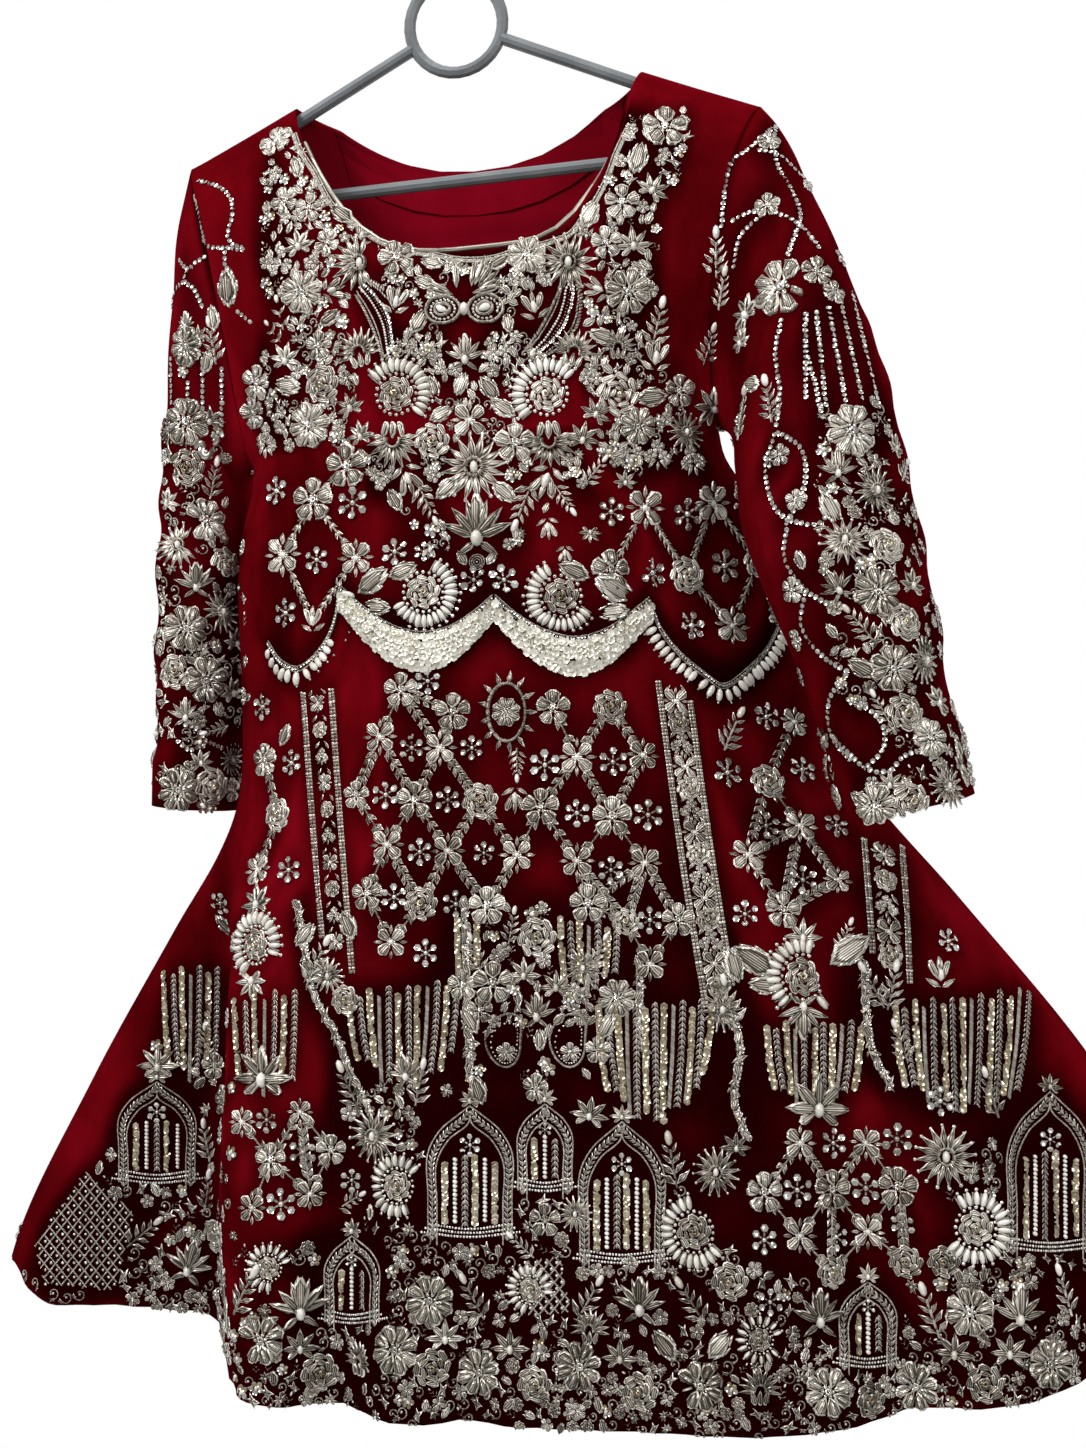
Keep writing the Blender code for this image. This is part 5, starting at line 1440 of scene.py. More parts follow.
class Ground:
    """A cloth to sew on: points given as seen in the photo, or by place on the cloth's own grid.

    A frame is a point with its side, up and normal directions and the millimetres a pixel there.
    """

    def __init__(self, grid, closed):
        self.grid = grid
        self.closed = closed
        rows, columns = grid.shape[:2]
        quads = grid_quads(rows, columns, closed)
        self.tree = BVHTree.FromPolygons(grid.reshape(-1, 3).tolist(), quads.tolist())
        normals = np.cross(grid[1:, :-1] - grid[:-1, :-1], grid[:-1, 1:] - grid[:-1, :-1])
        away = (grid[:-1, :-1] - grid.reshape(-1, 3).mean(0)) * (1, 1, 0)
        self.way = np.sign((normals * away).sum())

    def seen(self, u, v):
        """The frame behind a photo pixel, or None beside the cloth."""
        place, ray = photo_ray(u, v)
        spot, normal, _, reach = self.tree.ray_cast(place.tolist(), ray.tolist())
        if spot is None:
            return None
        spot, normal = np.array(spot), np.array(normal)
        if normal @ ray > 0:
            normal = -normal
        _, _, top, back = camera_frame()
        up = unit(top - ray * (top @ normal) / (ray @ normal))
        return spot, np.cross(up, normal), up, normal, MM * reach * -(ray @ back) / FOCAL_PIXELS

    def ring(self, rise):
        """Shares of the rows and columns of the points so far above the hem, with the length across."""
        rows, columns = self.grid.shape[:2]
        steps = np.linalg.norm(np.diff(self.grid, axis=0), axis=2)
        above = np.cumsum(steps[::-1], axis=0)[::-1]
        places = np.array([np.interp(-rise, -above[:, column], np.arange(rows - 1))
                           for column in range(columns)])
        spots_there = self.grid[places.astype(int), np.arange(columns)]
        across = np.concatenate([[0.0], np.cumsum(np.linalg.norm(np.diff(spots_there, axis=0), axis=1))])
        return places / (rows - 1), np.arange(columns) / columns, across

    def on_grid(self, row, column):
        """The frame at a share of the grid's rows and columns."""
        rows, columns = self.grid.shape[:2]
        i = min(int(row * (rows - 1)), rows - 2)
        j = int(column * columns) % columns if self.closed else min(int(column * (columns - 1)), columns - 2)
        spot = self.grid[i, j]
        down = self.grid[i + 1, j] - spot
        normal = unit(np.cross(down, self.grid[i, (j + 1) % columns] - spot) * self.way)
        up = -unit(down)
        return spot, np.cross(up, normal), up, normal, PIXEL_MM

    def snap(self, point):
        """The cloth's nearest point and its normal there."""
        spot, normal, _, _ = self.tree.find_nearest(point.tolist())
        return np.array(spot), np.array(normal)


class Nearest:
    """Several cloths as one ground: each photo pixel falls on the cloth in front."""

    def __init__(self, *grounds):
        self.grounds = grounds

    def seen(self, u, v):
        """The frame on the cloth that the photo shows at a pixel."""
        place, ray = photo_ray(u, v)
        found = [frame_at for frame_at in (ground.seen(u, v) for ground in self.grounds) if frame_at]
        return min(found, key=lambda frame_at: (frame_at[0] - place) @ ray, default=None)

    def snap(self, point):
        """The nearest point of any of the cloths."""
        return min((ground.snap(point) for ground in self.grounds),
                   key=lambda hit: np.linalg.norm(hit[0] - point))


class Work:
    """Small parts gathered on a cloth and then made into one mesh; taken is where the photo is full."""

    def __init__(self, name, ground, seed, brightness=(0.1, 1.0)):
        self.name = name
        self.ground = ground
        self.dice = np.random.default_rng(seed)
        self.brightness = brightness
        self.tone = 0.5
        self.rows = []
        self.taken = []

    def lay(self, frame_at, parts, turn=0.0):
        """Lay parts at a frame: (kind, x, y, turn, half length, half width, height, material) in mm."""
        spot, side, up, normal, _ = frame_at
        c, s = math.cos(math.radians(turn)), math.sin(math.radians(turn))
        if len(parts) > MANY_PARTS:
            self.tone = self.dice.uniform(*self.brightness)
        for kind, x, y, angle, half_length, half_width, height, material in parts:
            x, y = (c * x - s * y) / MM, (s * x + c * y) / MM
            way = math.radians(angle + turn)
            heading = side * math.cos(way) + up * math.sin(way)
            size = (half_length, half_width, height)
            self.put(kind, spot + side * x + up * y, heading, normal, size, material)

    def put(self, kind, planned, heading, facing, size, material):
        """Set one part on the cloth, a little loose; past the cloth's edge it is left out."""
        point, normal = self.ground.snap(planned)
        if np.linalg.norm(point - planned) > EDGE_REACH:
            return
        if normal @ facing < 0:
            normal = -normal
        stray = SEQUIN_STRAY[material] if kind in ("sequin", "disc") else STRAY
        normal = normal + self.dice.normal(0.0, stray, 3)
        heading = heading - normal * (heading @ normal) / (normal @ normal)
        self.rows.append((KINDS.index(kind), *point, *normal, *heading, *size, material, self.tone))

    def make(self, materials):
        """One mesh of all the parts."""
        rows = np.array(self.rows)
        made = {name: [] for name in ("verts", "faces", "slots", "uv", "tones", "rims")}
        first = 0
        for index, kind in enumerate(KINDS):
            own = rows[rows[:, 0] == index]
            if not len(own):
                continue
            verts, faces, rims = FORMS[kind]
            normal, heading = unit(own[:, NORMAL]), unit(own[:, HEADING])
            axes = (heading, np.cross(normal, heading), normal)
            size = own[:, SIZE] / MM * self.dice.uniform(*SIZE_SPREAD, (len(own), 1))
            placed = own[:, None, POINT] - normal[:, None] * SINK
            for i, axis in enumerate(axes):
                placed = placed + axis[:, None] * verts[None, :, i:i + 1] * size[:, None, i:i + 1]
            made["verts"].append(placed.reshape(-1, 3))
            ids = np.arange(len(own))[:, None, None] * len(verts) + faces[None] + first
            made["faces"].append(ids.reshape(-1, 3))
            made["slots"].append(np.repeat(own[:, MATERIAL], len(faces)))
            made["uv"].append((verts[None, :, :2] * own[:, None, SIZE][:, :, :2]).reshape(-1, 2))
            made["tones"].append(np.repeat(own[:, TONE], len(verts)))
            made["rims"].append(np.tile(rims, len(own)))
            first += len(own) * len(verts)
        made = {name: np.concatenate(arrays) for name, arrays in made.items()}
        obj = make_mesh(self.name, made["verts"], made["faces"], materials, made["slots"])
        store(obj, "tone", made["tones"])
        store(obj, "rim", made["rims"])
        layer = obj.data.uv_layers.new(name="UVMap")
        layer.data.foreach_set("uv", made["uv"][made["faces"].ravel()].astype(np.float32).ravel())
        return obj


# Motifs in unit size: parts as (kind, x, y, turn, half length, half width, height, material), where 1 is the
# motif's half size
def at_angle(angle, radius):
    """The point at an angle in degrees and a distance from the middle."""
    way = math.radians(angle)
    return radius * math.cos(way), radius * math.sin(way)


def round_points(count, radius, start=0.0, spread=360.0):
    """Angles and points round a circle or along an arc."""
    ends = count if spread >= 360.0 else max(count - 1, 1)
    for i in range(count):
        angle = start + spread * i / ends
        yield (angle, *at_angle(angle, radius))


def ring(parts, count, start=0.0, spread=360.0):
    """Parts that lie along x, repeated round the middle; only the long ones turn with their place."""
    laid = []
    for angle, c, s in round_points(count, 1.0, start, spread):
        for kind, x, y, turn, *rest in parts:
            facing = turn if kind in ROUND_KINDS else turn + angle
            laid.append((kind, c * x - s * y, s * x + c * y, facing, *rest))
    return laid


def sized(parts, size, x=0.0, y=0.0):
    """Parts at so many times their size, with their middle at a place."""
    return [(kind, x + px * size, y + py * size, turn, length * size, width * size, height * size, material)
            for kind, px, py, turn, length, width, height, material in parts]


def heart(kind, material):
    """A flower's middle: a sequin or pearl in a ring of beads."""
    beads = ring([("dot", 0.8, 0.0, 0.0, 0.36, 0.36, 0.46, BEAD)], 6)
    return beads + [(kind, 0.0, 0.0, 0.0, 0.6, 0.6, 0.6, material)]


def flower(count):
    """Padded petals, each with a raised vein and stitched edges, round a beaded middle."""
    width = 0.68 * 1.1 * math.sin(math.pi / count)
    lean = math.degrees(1.302 / count)
    petal = [("petal", 0.62, 0.0, 0.0, 0.40, width, 0.24, COIL),
             ("bar", 0.589, 0.0, 0.0, 0.22, 0.055, 0.31, BEAD),
             ("bar", *at_angle(-lean, 0.93), 64.8, 0.18, 0.055, 0.16, ROPE),
             ("bar", *at_angle(lean, 0.93), 115.2, 0.18, 0.055, 0.16, ROPE)]
    return ring(petal, count, 18.0) + sized(heart("sequin", SEQUIN), 0.26)


def lily():
    """Pointed leaves fanned upwards from a pearl, over two petals."""
    leaves = ring([("leaf", 0.50, 0.0, 0.0, 0.50, 0.19, 0.20, COIL)], 5, 2.0, 176.0)
    petals = ring([("petal", 0.4, 0.0, 0.0, 0.32, 0.15, 0.18, COIL)], 2, -35.0, 250.0)
    return sized(leaves + petals, 1.0, 0.0, -0.2) + [("pearl", 0.0, -0.22, 90.0, 0.22, 0.15, 0.26, PEARL)]


def radial():
    """Long narrow petals all round a pearl, with a bead at each tip."""
    petal = [("blade", 0.6, 0.0, 0.0, 0.42, 0.12, 0.17, COIL),
             ("dot", 0.972, 0.0, 0.0, 0.07, 0.07, 0.1, BEAD)]
    coil = ring([("bar", 0.25, 0.0, 90.0, 0.09, 0.05, 0.2, ROPE)], 9)
    return ring(petal, 16, 7.0) + coil + [("pearl", 0.0, 0.0, 90.0, 0.20, 0.13, 0.22, PEARL)]


def coil_rings():
    """Three rings of short coiled wire, one inside another."""
    parts = []
    for level, count in enumerate((17, 12, 7)):
        coil = ("bar", 1.0 - level / 3.4, 0.0, 90.0, 0.19, 0.085, 0.17 + 0.04 * level, ROPE)
        parts += ring([coil], count, 20.0 * level)
    return parts + [("bead", 0.0, 0.0, 0.0, 0.15, 0.15, 0.3, BEAD)]


def rose():
    """Petals laid round and over one another."""
    parts = []
    for level, (radius, count, size) in enumerate(((0.74, 8, 0.34), (0.46, 6, 0.28), (0.22, 4, 0.18))):
        petal = ("petal", radius, 0.0, 78.0, size, size * 0.52, 0.16 + 0.06 * level, COIL)
        parts += ring([petal], count, 25.0 * level)
    return parts + [("sequin", 0.0, 0.0, 0.0, 0.15, 0.15, 0.34, GOLD)]


def fan(start, spread, rays):
    """A round flower edged with long pearls that stand out like rays, each in a coiled loop."""
    ray = [("pearl", 0.80, 0.0, 0.0, 0.20, 0.078, 0.16, PEARL),
           ("dot", 1.04, 0.0, 0.0, 0.06, 0.06, 0.1, BEAD),
           ("bar", 0.784, 0.105, 0.0, 0.2, 0.024, 0.08, ROPE)]
    beads = ring([("dot", 0.56, 0.0, 0.0, 0.06, 0.06, 0.12, BEAD)], 20)
    return sized(rose(), 0.52) + ring(ray, rays, start, spread) + beads


def shell():
    """Narrow petals fanned over the upper side, over a row of coil and three petals."""
    blades = ring([("blade", 0.62, 0.0, 0.0, 0.38, 0.12, 0.2, COIL)], 11, -10.0, 200.0)
    coil = ring([("bar", 0.24, 0.0, 90.0, 0.11, 0.05, 0.24, ROPE)], 7, 0.0, 180.0)
    petals = [("petal", x, -0.34, 270.0 - 50 * x, 0.3, 0.14, 0.2, COIL) for x in (-0.3, 0.0, 0.3)]
    return blades + coil + petals


def leaf():
    """One leaf, up along y, with its edge in fine coil."""
    parts = [("leaf", 0.0, 0.0, 90.0, 1.0, 0.52, 0.26, COIL)]
    for side in (-1, 1):
        parts += [("bar", side * 0.52 * (1.0 - 0.7 * abs(y)), y, 90.0 - side * lean, 0.30, 0.06, 0.14, BEAD)
                  for y, lean in ((-0.56, 22.0), (0.04, 0.0), (0.6, -22.0))]
    return parts


def spray(pairs):
    """A stem with leaves in pairs and a pearl on top, up along y."""
    parts = []
    for i in range(pairs):
        y = -0.84 + 1.4 * i / pairs
        size = 0.34 - 0.04 * i
        for side in (-1, 1):
            angle = 90 - side * (52 - 5 * i)
            out, up = at_angle(angle, size * 1.05)
            parts.append(("blade", out, y + up, angle, size, size * 0.40, size * 0.3, COIL))
        parts.append(("bar", 0.0, y, 90.0, 0.18, 0.044, 0.10, ROPE))
    return parts + [("pearl", 0.0, 0.76, 90.0, 0.26, 0.13, 0.18, PEARL)]


def tulip():
    """Three upright petals and two leaves round a long pearl."""
    return [("petal", -0.34, 0.25, 112.0, 0.5, 0.2, 0.22, COIL),
            ("petal", 0.34, 0.25, 68.0, 0.5, 0.2, 0.22, COIL),
            ("leaf", -0.45, -0.4, 150.0, 0.42, 0.15, 0.17, COIL),
            ("leaf", 0.45, -0.4, 30.0, 0.42, 0.15, 0.17, COIL),
            ("leaf", 0.0, 0.55, 90.0, 0.4, 0.14, 0.24, COIL),
            ("pearl", 0.0, 0.02, 90.0, 0.36, 0.16, 0.3, PEARL)]


def lotus():
    """Pointed petals standing in a fan, with a bud between and two leaves below."""
    petals = [("leaf", *at_angle(angle, 0.5), angle, 0.52, 0.15, 0.2, COIL)
              for angle in (20.0, 48.0, 74.0, 106.0, 132.0, 160.0)]
    return sized(petals, 1.0, 0.0, -0.3) + [("petal", 0.0, 0.25, 90.0, 0.6, 0.2, 0.3, COIL),
                                            ("leaf", -0.3, -0.62, 215.0, 0.34, 0.11, 0.16, COIL),
                                            ("leaf", 0.3, -0.62, 325.0, 0.34, 0.11, 0.16, COIL),
                                            ("pearl", 0.0, -0.34, 90.0, 0.22, 0.16, 0.28, PEARL)]


def star():
    """A small six-armed star of coil with a beaded sequin at each tip."""
    arm = [("disc", 0.78, 0.0, 0.0, 0.27, 0.27, 0.16, SEQUIN), ("dot", 0.78, 0.0, 0.0, 0.1, 0.1, 0.24, BEAD),
           ("bar", 0.39, 0.0, 0.0, 0.15, 0.075, 0.18, ROPE)]
    return ring(arm, 6, 30.0) + [("bead", 0.0, 0.0, 0.0, 0.2, 0.2, 0.26, BEAD)]


def quatrefoil():
    """Four wide petals round a beaded pearl, with a small leaf between each two."""
    petals = ring([("petal", 0.52, 0.0, 0.0, 0.42, 0.34, 0.22, COIL)], 4, 45.0)
    leaves = ring([("leaf", 0.74, 0.0, 0.0, 0.26, 0.1, 0.15, COIL)], 4)
    return petals + leaves + sized(heart("pearl", PEARL), 0.24)


def knot():
    """A small cluster of sequins round a pearl."""
    sequins = [("disc", x, y, 0.0, 0.36, 0.36, 0.24, SEQUIN if angle > 100 else GOLD)
               for angle, x, y in round_points(5, 0.58)]
    return sequins + [("pearl", 0.0, 0.0, 30.0, 0.34, 0.26, 0.44, PEARL)]


def bow():
    """Two round loops of bead rows held by a pearl, with narrow leaves rising above."""
    coil, beads = ("bar", 0.78, 0.07, ROPE), ("dot", 0.8, 0.045, BEAD)
    parts = []
    for side in (-1, 1):
        for radius, (kind, flatness, length, material) in ((0.42, coil), (0.30, beads), (0.18, coil)):
            parts += [(kind, side * 0.52 + x, y * flatness, angle + 90, length, 0.042, 0.1, material)
                      for angle, x, y in round_points(int(8 + radius * 34), radius)]
        parts.append(("petal", side * 0.52, 0.0, 90.0 - side * 70, 0.15, 0.09, 0.16, PEARL))
        for angle, reach in ((84, 0.98), (70, 1.12), (56, 1.08), (42, 1.0), (28, 0.86), (14, 0.72)):
            x, y = at_angle(angle, reach)
            parts.append(("leaf", side * (0.16 + x * 0.62), 0.36 + y * 0.5, 90 - side * (90 - angle), 0.36,
                          0.095, 0.15, COIL))
    return parts + [("pearl", 0.0, 0.0, 90.0, 0.16, 0.12, 0.24, PEARL)]


def medallion():
    """An upright oval of coil round a flower, with leaves outside."""
    parts = []
    for i in range(26):
        turn = 2 * math.pi * i / 26
        x, y = 0.54 * math.cos(turn), 0.8 * math.sin(turn)
        angle = math.degrees(math.atan2(math.cos(turn) * 0.4, -math.sin(turn) * 0.27))
        parts.append(("bar", x, y, angle, 0.1, 0.048, 0.1, ROPE))
        if i % 2 == 0:
            parts.append(("blade", x * 1.3, y * 1.22, math.degrees(turn), 0.2, 0.08, 0.08, COIL))
    return parts + sized(flower(8), 0.4)


def posy():
    """Three small flowers on leaves."""
    parts = sized(flower(5), 0.42, 0.0, 0.5) + sized(flower(5), 0.42, -0.48, -0.1)
    parts += sized(flower(5), 0.42, 0.46, -0.16)
    for angle, x, y in round_points(5, 1.0, 200.0, 140.0):
        parts.append(("leaf", x * 0.75, y * 0.7, angle, 0.3, 0.1, 0.14, COIL))
    return parts


def bud():
    """Two crossed leaves on a bead."""
    return [("blade", 0.0, 0.0, 60.0, 1.0, 0.36, 0.3, COIL),
            ("blade", 0.0, 0.0, 120.0, 1.0, 0.36, 0.3, COIL),
            ("dot", 0.0, -0.5, 0.0, 0.3, 0.3, 0.4, BEAD)]


# Motifs whose stitches keep their size, or grow in number, are made from their half size in mm
def curl(r):
    """A stem of fine coil that curls in on a bead, with leaves at its foot."""
    steps = max(6, int(r * 2.4))
    parts = []
    for share in np.arange(steps) / steps:
        angle = 288.0 * share - 90.0
        parts.append(("bar", *at_angle(angle, r * (0.85 - 0.55 * share)), angle + 90, 0.85, 0.45, 0.8, ROPE))
    foot = [("blade", -0.35, -0.85, 145.0, 0.42, 0.17, 0.2, COIL),
            ("blade", -0.35, -0.85, 205.0, 0.42, 0.17, 0.2, COIL),
            ("bead", 0.0, 0.0, 0.0, 0.2, 0.2, 0.25, BEAD)]
    return parts + sized(foot, r)


def feather_strip(r):
    """A curved strip of pearl and sequin rows inside a thick scalloped edge, up along y."""
    half = r * 0.31
    steps = int(2 * r / 1.9)
    parts = []
    for i in range(steps + 1):
        swell = math.sin(math.pi * i / steps)
        bend = r * 0.24 * swell
        y = 2 * r * (i / steps - 0.5)
        width = half * (0.7 + 0.45 * swell)
        for side in (-1, 1):
            parts.append(("bar", bend + side * width * 0.84, y, 90.0, 1.1, 0.55, 0.9, ROPE))
            parts.append(("leaf", bend + side * width * 1.12, y, 90.0 - side * 40, 1.5, 0.75, 1.1, COIL))
        parts.append(("pearl", bend - width * 0.32, y, 90.0, 0.85, 0.75, 1.1, PEARL))
        parts.append(("disc", bend + width * 0.28, y, 0.0, 1.1, 1.1, 0.9, SEQUIN))
        parts.append(("dot", bend, y, 0.0, 0.45, 0.45, 0.8, ROPE))
    for end in (-1, 1):
        parts += [("leaf", x, end * (r + abs(y)), end * angle, 1.8, 0.8, 1.2, COIL)
                  for angle, x, y in round_points(7, half * 0.55, 0.0, 180.0)]
    return parts


def paisley(r):
    """A curled drop: coiled edge, a row of beads inside it and a small flower in its belly."""
    parts = []
    count = int(3 * r)
    for i in range(count):
        turn = 2 * math.pi * i / count
        reach = 0.64 * (1.0 + 0.55 * math.sin(turn / 2 + 0.4) ** 6)
        x = reach * math.cos(turn) * 0.8 + 0.32 * max(math.sin(turn), 0) ** 2
        y = 0.24 + reach * math.sin(turn) * 1.15
        parts.append(("bar", x, y, math.degrees(turn) + 90, 0.07, 0.04, 0.10, ROPE))
        if i % 2:
            parts.append(("dot", x * 0.74, y * 0.76, 0.0, 0.04, 0.04, 0.06, BEAD))
    return sized(parts + sized(flower(5), 0.32), r)


def large_sequin(r):
    """One large sequin held by a bead."""
    return [("sequin", 0.0, 0.0, 0.0, r, r, 0.8, SEQUIN),
            ("bead", 0.0, 0.0, 0.0, r * 0.3, r * 0.3, 1.3, BEAD)]


UNIT_MOTIFS = {
    "flower": flower(5), "flower8": flower(8), "lily": lily(), "radial": radial(), "rose": rose(),
    "shell": shell(), "tulip": tulip(), "lotus": lotus(), "star": star(), "quatrefoil": quatrefoil(),
    "knot": knot(), "posy": posy(), "bow": bow(), "coils": coil_rings(), "bud": bud(), "leaf": leaf(),
    "spray": spray(4), "sprig": spray(2), "medallion": medallion(),
}
GROWN_MOTIFS = {"curl": curl, "strip": feather_strip, "paisley": paisley, "sequin": large_sequin}


def motif(name, size):
    """A motif's parts, from its name in the tables and its half size in mm."""
    return GROWN_MOTIFS[name](size) if name in GROWN_MOTIFS else sized(UNIT_MOTIFS[name], size)


def smooth_path(points):
    """A curve through a few photo points, as evenly spaced photo points."""
    points = np.array(points, float)
    step = np.linalg.norm(np.diff(points, axis=0), axis=1)
    at = np.concatenate(([0.0], np.cumsum(step)))
    share = np.linspace(0.0, at[-1], max(2, int(at[-1] / PATH_STEP)))
    return np.stack([through(share, at, points[:, 0]), through(share, at, points[:, 1])], -1)


def path_frames(ground, points, gap):
    """Frames at every gap mm along a path: x runs along it and y to its left."""
    seen = [ground.seen(u, v) for u, v in smooth_path(points)]
    seen = [frame_at for frame_at in seen if frame_at is not None]
    if len(seen) < 2:
        return []
    spots = np.array([frame_at[0] for frame_at in seen])
    at = np.concatenate(([0.0], np.cumsum(np.linalg.norm(np.diff(spots, axis=0), axis=1)))) * MM
    frames = []
    for where in np.arange(gap / 2, at[-1], gap):
        i = min(int(np.searchsorted(at, where)), len(at) - 1)
        share = (where - at[i - 1]) / max(at[i] - at[i - 1], TINY)
        spot = spots[i - 1] + (spots[i] - spots[i - 1]) * share
        normal = seen[i][3]
        way = spots[i] - spots[i - 1]
        way = way - normal * (way @ normal)
        if np.linalg.norm(way) > TINY:
            way = unit(way)
            frames.append((spot, way, np.cross(normal, way), normal, seen[i][4]))
    return frames


def run(work, points, gap, parts_at):
    """Lay parts along a path; parts_at gives them for each step."""
    for i, frame_at in enumerate(path_frames(work.ground, points, gap)):
        work.lay(frame_at, parts_at(i))


# Lines are laid along a path with their parts in mm
def cord(points, work, width=0.7):
    """A twisted cord: short slanted coils, end to end."""
    coil = ("bar", 0.0, 0.0, 24.0, width * 1.15, width * 0.62, width, ROPE)
    run(work, points, width * 1.5, lambda i: [coil])


def chain(points, work, size=0.95):
    """A line of small sequins, each held by a bead."""
    link = [("disc", 0.0, 0.0, 0.0, size, size, 0.9, SEQUIN),
            ("dot", 0.0, 0.0, 0.0, size * 0.4, size * 0.4, 0.9, ROPE)]
    run(work, points, size * 2.3, lambda i: link)


def sequin_line(points, work):
    """Overlapping sequins, like a row of scales."""
    scale = [("disc", 0.0, 0.0, 0.0, 2.3, 2.3, 1.4, GOLD), ("dot", 0.69, 0.0, 0.0, 0.55, 0.55, 1.7, BEAD)]
    run(work, points, 2.3 * 1.15, lambda i: scale)


def wheat_line(points, work):
    """Small leaves in pairs on a stem, like an ear of wheat."""
    size = 3.3
    pair = [("blade", size * 0.1, side * size * 0.33, side * 30.0, size * 0.66, size * 0.25, 1.2, COIL)
            for side in (-1, 1)]
    run(work, points, size, lambda i: pair + [("bar", 0.0, 0.0, 0.0, size * 0.5, 0.35, 0.7, ROPE)])


def coil_line(points, work):
    """Slanted coils side by side, like a rope."""
    size = 1.1
    run(work, points, size * 0.95, lambda i: [("bar", 0.0, 0.0, 52.0, size * 1.4, size * 0.48, 1.2, ROPE)])


def pearl_line(points, work):
    """Long pearls side by side, slanted."""
    run(work, points, 1.2 * 2.15, lambda i: [("pearl", 0.0, 0.0, 62.0, 1.5, 1.2, 1.8, PEARL)])


LINES = {"sequin": sequin_line, "wheat": wheat_line, "coil": coil_line, "cord": cord, "chain": chain,
         "pearl": pearl_line}


def place_motifs(work, rows):
    """Lay a table of motifs as seen in the photo: name, x, y, half size in pixels and any turn."""
    for name, x, y, size, *turn in rows:
        frame_at = work.ground.seen(x, y)
        if frame_at is None:
            continue
        work.lay(frame_at, motif(name, size * MOTIF_GROWTH * frame_at[4]), *turn)
        work.taken.append((x, y, size * KEEP_CLEAR))


def place_fans(work, rows):
    """Round flowers with pearl rays: x, y, half size in pixels, start, spread and rays."""
    for x, y, size, start, spread, rays in rows:
        frame_at = work.ground.seen(x, y)
        if frame_at is None:
            continue
        work.lay(frame_at, sized(fan(start, spread, rays), size * frame_at[4]))
        work.taken.append((x, y, size * FAN_CLEAR))


def inside(polygon, x, y):
    """Whether a photo point lies in a polygon."""
    odd = False
    for (x0, y0), (x1, y1) in zip(polygon, polygon[1:] + polygon[:1]):
        if (y0 > y) != (y1 > y) and x < x0 + (y - y0) * (x1 - x0) / (y1 - y0):
            odd = not odd
    return odd


def fill(work, polygon, gap, names, size):
    """Small motifs at uneven spacing in what is still free of a region."""
    xs, ys = zip(*polygon)
    dice = work.dice
    room = size * FILL_ROOM
    for row, y in enumerate(np.arange(min(ys), max(ys), gap * FILL_ROW_GAP)):
        for x in np.arange(min(xs) + gap / 2 * (row % 2), max(xs), gap):
            u, v = (at + dice.uniform(-FILL_STRAY, FILL_STRAY) * gap for at in (x, y))
            clear = (math.hypot(u - x0, v - y0) > taken + room for x0, y0, taken in work.taken)
            if not inside(polygon, u, v) or not all(clear):
                continue
            name = names[dice.integers(len(names))]
            frame_at = work.ground.seen(u, v)
            if frame_at is not None:
                parts = motif(name, size * frame_at[4] * dice.uniform(*FILL_SIZES))
                work.lay(frame_at, parts, dice.uniform(-FILL_TURN, FILL_TURN))


def link_nodes(work, nodes, reach, leaf_size):
    """Join neighbouring flowers of a lattice by a cord with leaves and beads on it."""
    length, width = leaf_size
    for i, (_, x, y, size) in enumerate(nodes):
        for _, u, v, far in nodes[i + 1:]:
            gap = math.hypot(u - x, v - y)
            if not reach[0] < gap < reach[1] or abs(v - y) < LINK_STEEPNESS * gap:
                continue
            way = np.array([u - x, v - y]) / gap
            start, end = size * LINK_START, gap - far * LINK_START
            if end - start < LINK_SHORTEST:
                continue
            cord([(x, y) + way * start, (x, y) + way * end], work, LINK_CORD)
            for share in np.linspace(*LINK_SPAN, max(2, int((end - start) / length))):
                frame_at = work.ground.seen(*((x, y) + way * (start + (end - start) * share)))
                if frame_at is None:
                    continue
                mm = frame_at[4]
                pair = [("blade", 0.0, side * width * mm * 0.46, side * LINK_SPLAY, length * mm * 0.64,
                         width * mm * 0.50, 1.3, COIL) for side in (-1, 1)]
                work.lay(frame_at, pair + [("dot", 0.0, 0.0, 0.0, 0.75, 0.75, 1.1, BEAD)],
                         -math.degrees(math.atan2(way[1], way[0])))


def strip_rails(work, left, right, gap):
    """An upright strip: two rails of flat coil with rosettes between them."""
    for rail in (left, right):
        for offset in (-RAIL_OFFSET, RAIL_OFFSET):
            coil = ("bar", 0.0, offset, 0.0, 1.10, 0.96, 1.1, COIL)
            clasp = ("bar", 0.0, offset, 90.0, 1.10, 0.96, 1.1, BEAD)
            run(work, rail, 2 * 1.10, lambda i, coil=coil, clasp=clasp: [coil if i % 4 else clasp])
    count = int(math.dist(left[0], left[-1]) / gap)
    top, bottom = (np.add(left[end], right[end]) / 2 for end in (0, -1))
    half = math.dist(left[0], right[0]) / 2 - RAIL_HALF
    for i in range(count):
        frame_at = work.ground.seen(*(top + (bottom - top) * (i + 0.5) / count))
        if frame_at is None:
            continue
        r = half * frame_at[4]
        name, share = STRIP_MOTIFS[i % len(STRIP_MOTIFS)]
        work.lay(frame_at, motif(name, r * share))
        for side in (-1, 1):
            work.lay(frame_at, [("blade", side * r * 0.6, gap * 0.5 * frame_at[4], 90.0 + side * 35, r * 0.4,
                                 r * 0.16, 1.0, COIL)])
    work.taken += [(*(top + (bottom - top) * share), half + RAIL_CLEAR)
                   for share in np.linspace(0.0, 1.0, 2 * count)]


